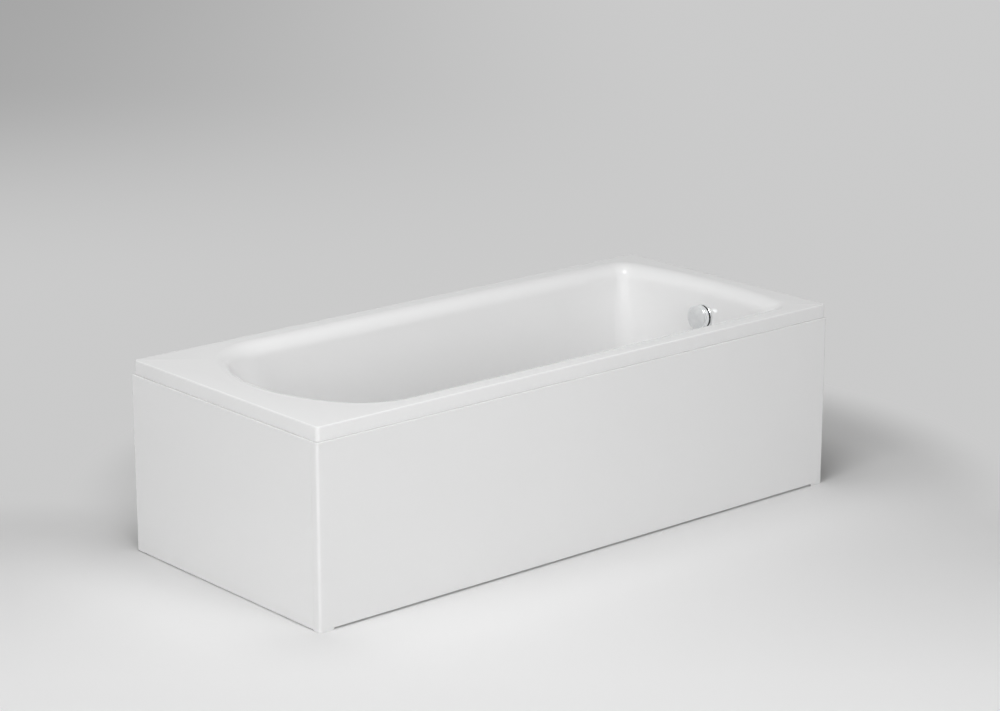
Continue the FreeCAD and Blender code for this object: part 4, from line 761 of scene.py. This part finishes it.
# %% Finish: metals
def metal(name, colour, roughness, patch, height, spangle=0.0, rubbed=0.0):
    finish = Finish(name, colour, roughness, 1.0)
    tone = finish.group(wander, Size=patch, One=tint(colour, 1.05), Other=tint(colour, 0.9),
                        Low=roughness * 0.75, High=roughness * 1.4)
    shade, rough = tone["Colour"], tone["Value"]
    if spangle:
        flakes = finish.group(chips, Size=spangle, One=tint(WHITE[:3], 0.88), Other=WHITE)
        shade = mix_colour(finish.tree, 1.0, shade, flakes["Colour"], "MULTIPLY")
    if rubbed:
        edge = finish.group(wear, Reach=rubbed, Patch=0.02)["Mask"]
        shade = mix_colour(finish.tree, edge, shade, tint(colour, 1.25))
        rough = mix_value(finish.tree, edge, rough, roughness * 0.6)
    finish.set("Base Color", shade)
    finish.set("Roughness", rough)
    uneven = finish.group(relief, Swell=patch * 0.5, Grain=0.0006, Grain_share=0.05)
    finish.bump(uneven["Height"], height)
    return finish.material


bright_chrome = tint(COLOUR_OF["chrome"], 1.2)[:3]
chrome = metal("chrome", bright_chrome, roughness=0.09, patch=0.03, height=0.00004)
zinc_steel = metal("zinc_steel", COLOUR_OF["zinc_steel"], roughness=0.36, patch=0.06, height=0.00015,
                   spangle=0.012, rubbed=0.0012)
brass = metal("brass", COLOUR_OF["brass"], roughness=0.28, patch=0.015, height=0.00015, rubbed=0.0006)
print("made", chrome.name, zinc_steel.name, brass.name)

# %% [markdown]
# The waste, the clips and the feet are moulded plastic. A mould leaves a fine grain, and handling
# polishes the edges, so they are a touch smoother and paler there. Rubber is dull and dusty. These too
# differ only in numbers: roughness, the size of the grain, and how much paler an edge is.

# %% Finish: plastics and rubber
def moulded(slot, roughness, grain_size, edge_lift):
    colour = COLOUR_OF[slot]
    finish = Finish(slot, colour, roughness)
    tone = finish.group(wander, Size=0.05, One=tint(colour, 1.04), Other=tint(colour, 0.93),
                        Low=roughness * 0.85, High=roughness * 1.2)
    edge = finish.group(wear, Reach=0.0012, Patch=0.015)["Mask"]
    finish.set("Base Color", mix_colour(finish.tree, edge, tone["Colour"], tint(colour, edge_lift)))
    finish.set("Roughness", mix_value(finish.tree, edge, tone["Value"], roughness * 0.7))
    uneven = finish.group(relief, Swell=0.03, Grain=grain_size, Grain_share=0.6)
    finish.bump(uneven["Height"], 0.00012)
    return finish.material


MATERIAL_OF = {"panel_acrylic": panel_acrylic, "zinc_steel": zinc_steel, "chrome": chrome, "brass": brass}
for slot, roughness, grain_size, edge_lift in (
        ("white_plastic", 0.36, 0.0009, 1.06), ("grey_plastic", 0.42, 0.0008, 1.25),
        ("black_plastic", 0.45, 0.0008, 1.9), ("rubber", 0.75, 0.0005, 1.5),
        ("cable_sheath", 0.5, 0.0004, 1.3)):
    MATERIAL_OF[slot] = moulded(slot, roughness, grain_size, edge_lift)
print("finishes:", ", ".join(MATERIAL_OF))

# %% [markdown]
# Most other pieces keep the shape of their solid, which is right already. A solid's mesh is loose
# triangles with razor edges. So a copy is welded, flat triangles are joined into larger faces, and every
# sharp edge gets a narrow bevel that catches the light, as a real edge does.

# %% Helpers for pieces that follow their solid
SLOT_OF = {part["node"]: part["material_slot"] for part in frame["record"]["subparts"]}
WELD, FLAT = 0.000005, math.radians(0.3)


def solid_copy(node):
    build = bmesh.new()
    build.from_mesh(frame["nodes"][node].data)
    bmesh.ops.remove_doubles(build, verts=build.verts, dist=WELD)
    bmesh.ops.dissolve_limit(build, angle_limit=FLAT, verts=build.verts, edges=build.edges)
    return build


def mount(piece, *nodes):
    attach(piece, frame["nodes"][nodes[0]]["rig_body"])
    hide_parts(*nodes)
    return piece


def dress(node, edge, material=None):
    material = material or MATERIAL_OF[SLOT_OF[node]]
    piece = smooth(to_piece(f"{node}_finished", solid_copy(node), material), degrees=40.0)
    bevel = piece.modifiers.new("edge", "BEVEL")
    bevel.width = edge
    bevel.segments = 2
    bevel.limit_method = "ANGLE"
    bevel.angle_limit = math.radians(32.0)
    piece.modifiers.new("flats", "WEIGHTED_NORMAL").keep_sharp = True
    return mount(settle(piece), node)


print("pieces with a slot:", len(SLOT_OF))

# %% [markdown]
# The panels are acrylic sheet too, bent at their edges. Sheet is cut sharp and only scraped a little, so
# their bevel is very narrow. A wider one would show as a bright line that the photograph doesn't have.

# %% Panels
PANEL_EDGE = 0.0003
for node in ("front_panel", "end_panel"):
    piece = dress(node, PANEL_EDGE)
    print(piece.name, "faces:", len(piece.data.polygons))

# %% [markdown]
# Battens stiffen the rim, a board stiffens the floor, and a post joins the panels. Each piece of pine
# gets the grain that runs its way. That could follow from its longest side, but six pieces are as quickly
# named. Sawn edges are broken with paper, so the bevel is wide.

# %% Battens, corner post and base board
SAWN_EDGE = 0.001
WOOD = {"rim_batten_front": pine_long, "rim_batten_back": pine_long, "rim_batten_head": pine_cross,
        "rim_batten_drain": pine_cross, "corner_post": pine_upright, "base_board": chipboard.material}
for node, material in WOOD.items():
    dress(node, SAWN_EDGE, material)
print("wooden pieces:", len(WOOD))

# %% [markdown]
# Bars and brackets are folded from sheet steel, clips are moulded, and lock nuts are cut from bar. Their
# solids have the folds and holes already. Half a millimetre is what folding, moulds and tumbling leave of
# an edge.

# %% Leg bars, brackets, clips and nuts
FITTING_EDGE = 0.0005
FITTINGS = ("leg_bar_head", "leg_bar_drain", "panel_bracket_head", "panel_bracket_drain",
            "panel_clips_front", "panel_clips_end", "foot_lock_nuts")
for node in FITTINGS:
    dress(node, FITTING_EDGE)
print("fittings:", len(FITTINGS))

# %% [markdown]
# The waste, the overflow and the trap are mouldings and turned metal with soft edges. Seals, gaskets and
# the small works that lift the plug are thin, and a wide bevel would eat them up, so theirs is finer.

# %% Waste, overflow and trap
SOFT_EDGE, THIN_EDGE = 0.0006, 0.0002
BODIES = ("waste_flange", "waste_plug", "waste_body", "trap_housing", "outlet_pipe", "overflow_rosette",
          "overflow_body", "overflow_pipe", "outlet_sleeve")
WORKS = ("waste_seal", "waste_gasket", "plug_seal", "trap_seal", "rosette_seal", "overflow_gasket",
         "lift_lever", "lever_pin", "cable_crank", "knob_spindle")
for nodes, edge in ((BODIES, SOFT_EDGE), (WORKS, THIN_EDGE)):
    for node in nodes:
        dress(node, edge)
print("waste and overflow pieces:", len(BODIES) + len(WORKS))

# %% [markdown]
# The overflow knob is turned on a lathe: a drum with a groove round it and a rounded face edge. A
# bevelled cylinder would lack the groove. So its outline is spun round the axis that stands square on the
# leaning wall.

# %% Overflow knob
KNOB, KNOB_BASE, KNOB_FACE, FACE_RING = 0.033, 0.0096, 0.0276, 0.0040
BASE_EDGE, FACE_ROUND, FACE_STEPS = 0.0008, 0.0012, 6
GROOVE, GROOVE_HALF, GROOVE_DEPTH, GROOVE_LIP = 0.0211, 0.0006, 0.0012, 0.0003


def lathe(name, outline, matrix, material, steps=96):
    build = bmesh.new()
    rings = []
    for radius, along in outline:
        angles = [math.tau * step / steps for step in range(steps)] if radius else [0.0]
        rings.append([build.verts.new(matrix @ Vector((radius * math.cos(a), radius * math.sin(a), along)))
                      for a in angles])
    for one, other in zip(rings, rings[1:]):
        for i in range(steps):
            j = (i + 1) % steps
            corners = [one[i % len(one)], one[j % len(one)], other[j % len(other)], other[i % len(other)]]
            build.faces.new(list(dict.fromkeys(corners)))
    bmesh.ops.recalc_face_normals(build, faces=build.faces)
    return smooth(to_piece(name, build, material), degrees=30.0)


half_groove = [(KNOB, GROOVE_HALF + GROOVE_LIP), (KNOB - GROOVE_LIP, GROOVE_HALF + GROOVE_LIP / 3),
               (KNOB - GROOVE_DEPTH, GROOVE_HALF)]
knob_outline = [(0.0, KNOB_BASE), (KNOB - BASE_EDGE, KNOB_BASE), (KNOB, KNOB_BASE + BASE_EDGE)]
knob_outline += [(radius, GROOVE - along) for radius, along in half_groove]
knob_outline += [(radius, GROOVE + along) for radius, along in reversed(half_groove)]
for step in range(FACE_STEPS + 1):
    angle = QUARTER * step / FACE_STEPS
    inward, back = FACE_ROUND * (1 - math.cos(angle)), FACE_ROUND * (1 - math.sin(angle))
    knob_outline.append((KNOB - inward, KNOB_FACE - back))
knob_outline += [(KNOB - FACE_RING, KNOB_FACE), (0.0, KNOB_FACE)]
mount(lathe("overflow_knob_turned", knob_outline, OUT_OF_WALL, chrome), "overflow_knob")
print("knob rings:", len(knob_outline))

# %% [markdown]
# Screws hold the bars, the clips, the brackets, the corner post and the trap. They are all alike, so one
# tree of geometry nodes builds a screw from its sizes and puts a copy on each point. The points and the
# way each screw is driven are measured from the islands of the solids. First come helpers that all trees
# share: cones, drums, cuts, and a thread, which is a small outline swept along a spiral.

# %% Helpers for geometry nodes
class Tree:
    def __init__(self, name, inputs):
        self.tree = bpy.data.node_groups.new(name, "GeometryNodeTree")
        self.tree.interface.new_socket("Geometry", in_out="INPUT", socket_type="NodeSocketGeometry")
        self.names = {}
        for label, kind in inputs:
            socket = self.tree.interface.new_socket(label, in_out="INPUT", socket_type=f"NodeSocket{kind}")
            self.names[label] = socket.identifier
        self.tree.interface.new_socket("Geometry", in_out="OUTPUT", socket_type="NodeSocketGeometry")
        self.start = self.tree.nodes.new("NodeGroupInput")
        self.end = self.tree.nodes.new("NodeGroupOutput")

    def __getitem__(self, label):
        return self.start.outputs[label]

    def add(self, kind, values=None, **settings):
        node = self.tree.nodes.new(kind)
        for key, value in settings.items():
            setattr(node, key, value)
        for key, value in (values or {}).items():
            for one in value if isinstance(value, list) else [value]:
                feed(self.tree, node.inputs[key], one)
        return node.outputs[0]

    def math(self, operation, one, other=0.0):
        return self.add("ShaderNodeMath", {0: one, 1: other}, operation=operation)

    def times(self, value, share):
        return self.math("MULTIPLY", value, share)

    def vector(self, x=0.0, y=0.0, z=0.0):
        return self.add("ShaderNodeCombineXYZ", {"X": x, "Y": y, "Z": z})

    def cone(self, sides, bottom, top, length):
        return self.add("GeometryNodeMeshCone", {
            "Vertices": sides, "Radius Bottom": bottom, "Radius Top": top, "Depth": length})

    def drum(self, sides, radius, length):
        return self.add("GeometryNodeMeshCylinder", {"Vertices": sides, "Radius": radius, "Depth": length})

    def thread(self, steps, core, length, sides, crest):
        spiral = self.add("GeometryNodeCurveSpiral", {
            "Resolution": steps, "Rotations": self.math("DIVIDE", length, self["Pitch"]),
            "Start Radius": core, "End Radius": core, "Height": length})
        outline = self.add("GeometryNodeCurvePrimitiveCircle", {"Resolution": sides, "Radius": crest})
        return self.add("GeometryNodeCurveToMesh", {
            "Curve": spiral, "Profile Curve": outline, "Fill Caps": True})

    def melted(self, meshes):
        return self.add("GeometryNodeMeshBoolean", {"Mesh 2": meshes}, operation="UNION", solver="EXACT")

    def cut(self, mesh, tool):
        return self.add("GeometryNodeMeshBoolean", {"Mesh 1": mesh, "Mesh 2": tool}, operation="DIFFERENCE",
                        solver="EXACT")

    def joined(self, meshes):
        return self.add("GeometryNodeJoinGeometry", {"Geometry": meshes})

    def moved(self, geometry, offset):
        return self.add("GeometryNodeTransform", {"Geometry": geometry, "Translation": offset})

    def raised(self, geometry, height):
        return self.moved(geometry, self.vector(z=height))

    def turned_to(self, way):
        return self.add("FunctionNodeAlignRotationToVector", {"Vector": way}, axis="Z")

    def finish(self, geometry):
        real = self.add("GeometryNodeRealizeInstances", {"Geometry": geometry})
        made = self.add("GeometryNodeSetMaterial", {"Geometry": real, "Material": self["Material"]})
        self.tree.links.new(made, self.end.inputs["Geometry"])
        print("tree:", self.tree.name, "nodes:", len(self.tree.nodes))

    def make(self, name, mesh, **values):
        piece = bpy.data.objects.new(name, mesh)
        bpy.context.collection.objects.link(piece)
        modifier = piece.modifiers.new(self.tree.name, "NODES")
        modifier.node_group = self.tree
        for label, value in values.items():
            modifier[self.names[label.replace("_", " ")]] = value
        return settle(piece)


# %% Tree: a screw with a cross slot and a thread, on every point
HEAD_FOOT_SHARE, SLOT_LENGTH_SHARE, SLOT_WIDTH_SHARE = 0.72, 1.15, 0.22
CORE_SHARE, TIP_LENGTH_SHARE, TIP_BASE_SHARE, CREST_SHARE = 0.78, 1.6, 0.98, 0.21
SCREW_OVERLAP = 0.0002
HEAD_SIDES, SHANK_SIDES, TURN_STEPS, CREST_SIDES = 24, 16, 14, 3

screws = Tree("driven_screws", [
    ("Head radius", "Float"), ("Head height", "Float"), ("Shank radius", "Float"), ("Length", "Float"),
    ("Pitch", "Float"), ("Material", "Material")])
head_radius, head_height, shank_radius = screws["Head radius"], screws["Head height"], screws["Shank radius"]
head = screws.cone(HEAD_SIDES, screws.times(head_radius, HEAD_FOOT_SHARE), head_radius, head_height)
slot_length = screws.times(head_radius, SLOT_LENGTH_SHARE)
slot_width = screws.times(head_radius, SLOT_WIDTH_SHARE)
bars = [screws.add("GeometryNodeMeshCube", {"Size": screws.vector(x, y, head_height)})
        for x, y in ((slot_length, slot_width), (slot_width, slot_length))]
head = screws.cut(head, screws.melted(bars))
tip_length = screws.times(shank_radius, TIP_LENGTH_SHARE)
shank_length = screws.math("SUBTRACT", screws.math("SUBTRACT", screws["Length"], head_height), tip_length)
core = screws.times(shank_radius, CORE_SHARE)
sunk = screws.math("SUBTRACT", head_height, SCREW_OVERLAP)
tip_height = screws.math("ADD", screws.math("SUBTRACT", sunk, SCREW_OVERLAP), shank_length)
shank = screws.raised(screws.cone(SHANK_SIDES, core, core, shank_length), sunk)
tip_base = screws.times(core, TIP_BASE_SHARE)
tip = screws.raised(screws.cone(SHANK_SIDES, tip_base, 0.0, tip_length), tip_height)
crest = screws.times(shank_radius, CREST_SHARE)
thread = screws.raised(screws.thread(TURN_STEPS, core, shank_length, CREST_SIDES, crest), head_height)
way = screws.add("GeometryNodeInputNamedAttribute", {"Name": "way"}, data_type="FLOAT_VECTOR")
screws.finish(screws.add("GeometryNodeInstanceOnPoints", {
    "Points": screws["Geometry"], "Instance": screws.joined([head, shank, tip, thread]),
    "Rotation": screws.turned_to(way)}))


# %% Measure the screws, and make them
SCREW_HEAD, SCREW_SHANK, SCREW_PITCH = 0.0025, 0.0021, 0.0016
HEAD_RIM_SHARE = 0.4


def islands(node):
    build = solid_copy(node)
    left, found = set(build.verts), []
    while left:
        stack, group = [left.pop()], []
        while stack:
            vert = stack.pop()
            group.append(vert.co.copy())
            near = {edge.other_vert(vert) for edge in vert.link_edges} & left
            left -= near
            stack.extend(near)
        found.append(group)
    build.free()
    return found


def driven(group):
    """Where a screw's head starts, the way it points, its length and its head's radius."""
    low = Vector([min(point[i] for point in group) for i in range(3)])
    high = Vector([max(point[i] for point in group) for i in range(3)])
    size, middle = high - low, (low + high) / 2
    axis = max(range(3), key=lambda i: size[i])
    across = (axis + 1) % 3
    off_axis = size[across] * HEAD_RIM_SHARE
    head_points = [point[axis] for point in group if abs(point[across] - middle[across]) > off_axis]
    at_low = sum(head_points) / len(head_points) < middle[axis]
    start, way = middle.copy(), Vector((0.0, 0.0, 0.0))
    start[axis] = low[axis] if at_low else high[axis]
    way[axis] = 1.0 if at_low else -1.0
    return start, way, size[axis], size[across] / 2


for node in ("leg_bar_screws", "clip_screws", "corner_screws", "bracket_screws", "trap_screws"):
    starts, ways, lengths, radii = zip(*(driven(group) for group in islands(node)))
    mesh = bpy.data.meshes.new(f"{node}_points")
    mesh.from_pydata(starts, [], [])
    attribute = mesh.attributes.new("way", "FLOAT_VECTOR", "POINT")
    attribute.data.foreach_set("vector", [value for way in ways for value in way])
    made = screws.make(f"{node}_driven", mesh, Head_radius=radii[0], Head_height=SCREW_HEAD,
                       Shank_radius=SCREW_SHANK, Length=lengths[0], Pitch=SCREW_PITCH, Material=zinc_steel)
    mount(smooth(made, degrees=35.0), node)
    print(node, len(starts), "way", tuple(ways[0]), "faces", len(made.data.polygons))

# %% [markdown]
# Three plastic nuts hold the pipes and are turned by hand, so each has ribs to grip. The ribs could be
# bumps in the finish, but they show in the outline. So a tree sets round bars in a ring, melts them into
# a drum, and drills it. Each nut's sizes are measured from its solid.

# %% Tree: a nut with grip ribs
RIB_COUNT, RIB_SHARE, RIB_LENGTH_SHARE = 18, 0.045, 0.8
DRUM_SHARE, DRILL_LENGTH_SHARE = 0.955, 1.5
DRUM_SIDES, RIB_SIDES = 72, 12

grips = Tree("gripped_nut", [
    ("Inner", "Float"), ("Outer", "Float"), ("Length", "Float"), ("Way", "Vector"), ("Place", "Vector"),
    ("Material", "Material")])
drum_radius = grips.times(grips["Outer"], DRUM_SHARE)
drum = grips.drum(DRUM_SIDES, drum_radius, grips["Length"])
rib_length = grips.times(grips["Length"], RIB_LENGTH_SHARE)
rib = grips.drum(RIB_SIDES, grips.times(grips["Outer"], RIB_SHARE), rib_length)
circle = grips.add("GeometryNodeMeshCircle", {"Vertices": RIB_COUNT, "Radius": drum_radius})
ribs = grips.add("GeometryNodeRealizeInstances", {
    "Geometry": grips.add("GeometryNodeInstanceOnPoints", {"Points": circle, "Instance": rib})})
bore = grips.drum(DRUM_SIDES, grips["Inner"], grips.times(grips["Length"], DRILL_LENGTH_SHARE))
nut = grips.cut(grips.melted([drum, ribs]), bore)
grips.finish(grips.add("GeometryNodeTransform", {
    "Geometry": nut, "Translation": grips["Place"], "Rotation": grips.turned_to(grips["Way"])}))

# %% Pipe nuts
for node, way in (("overflow_nut_upper", UP_WALL), ("overflow_nut_lower", Vector((1.0, 0.0, 0.0))),
                  ("outlet_nut", Vector((0.0, 1.0, 0.0)))):
    low, high = (Vector(corner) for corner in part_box(node))
    middle = (low + high) / 2
    points = [vert.co - middle for vert in frame["nodes"][node].data.vertices]
    across = [(point - way * point.dot(way)).length for point in points]
    length = max(point.dot(way) for point in points) * 2
    made = grips.make(f"{node}_gripped", bpy.data.meshes.new(node), Inner=min(across), Outer=max(across),
                      Length=length, Way=way, Place=middle, Material=MATERIAL_OF[SLOT_OF[node]])
    mount(smooth(made, degrees=35.0), node)
    print(node, "radii", round(min(across), 4), round(max(across), 4), "length", round(length, 4))

# %% [markdown]
# Each foot is a plastic pad on a threaded stud. The thread could be a bump, but then the stud's outline
# would be straight. So a third tree sweeps a small square along a spiral, round a plain core.

# %% Tree: a threaded stud
STUD_CREST_SHARE, STUD_ROOT_SHARE, PLAIN_TURNS = 0.34, 1.3, 2.0
STUD_SIDES, STUD_TURN_STEPS, STUD_CREST_SIDES = 32, 24, 4

studs = Tree("threaded_stud", [
    ("Radius", "Float"), ("Pitch", "Float"), ("Length", "Float"), ("Place", "Vector"),
    ("Material", "Material")])
crest = studs.times(studs["Pitch"], STUD_CREST_SHARE)
root = studs.math("SUBTRACT", studs["Radius"], studs.times(crest, STUD_ROOT_SHARE))
core = studs.cone(STUD_SIDES, root, root, studs["Length"])
thread_length = studs.math("SUBTRACT", studs["Length"], studs.times(studs["Pitch"], PLAIN_TURNS))
thread = studs.thread(STUD_TURN_STEPS, root, thread_length, STUD_CREST_SIDES, crest)
thread = studs.raised(thread, studs["Pitch"])
studs.finish(studs.moved(studs.joined([core, thread]), studs["Place"]))

# %% Feet
PAD_EDGE, STUD_PITCH = 0.0012, 0.00175
for end in ("head", "drain"):
    for side in ("front", "back"):
        node = f"foot_stud_{end}_{side}"
        low, high = (Vector(corner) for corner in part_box(node))
        place = Vector(((low.x + high.x) / 2, (low.y + high.y) / 2, low.z))
        stud = studs.make(f"{node}_threaded", bpy.data.meshes.new(node), Radius=(high.x - low.x) / 2,
                          Pitch=STUD_PITCH, Length=high.z - low.z, Place=place, Material=zinc_steel)
        mount(smooth(stud, degrees=50.0), node)
        pad = dress(f"foot_pad_{end}_{side}", PAD_EDGE)
        print(stud.name, "faces:", len(stud.data.polygons), "and", pad.name)

# %% [markdown]
# A thin cable in a sheath joins the overflow knob to the lever under the plug. It leaves its gland
# straight, swings round the corner behind the basin and climbs the drain wall. A chain of cylinders would
# show kinks, so it is a smooth curve of its real length.

# %% Lift cable
ROUTE = ((0.593, -0.040, 0.0976), (0.593, -0.0786, 0.0976), (0.6194, -0.105, 0.0976),
         (0.7366, -0.105, 0.0976), (0.7866, -0.105, 0.1476), (0.8061, -0.105, 0.3735),
         (0.8061, -0.0786, 0.3999), (0.8061, -0.038, 0.3999))
CABLE_RADIUS = 0.003

line = bpy.data.curves.new("lift_cable_sheathed", "CURVE")
line.dimensions = "3D"
spline = line.splines.new("NURBS")
spline.points.add(len(ROUTE) - 1)
for point, place in zip(spline.points, ROUTE):
    point.co = (*place, 1.0)
spline.order_u = 3
spline.use_endpoint_u = True
spline.resolution_u = 16
cable = bpy.data.objects.new("lift_cable_sheathed", line)
bpy.context.collection.objects.link(cable)
centre = evaluated_mesh(cable)
bpy.data.meshes.remove(centre)
line.bevel_depth = CABLE_RADIUS
line.bevel_resolution = 5
line.use_fill_caps = True
line.materials.append(MATERIAL_OF["cable_sheath"])
mount(cable, "lift_cable")
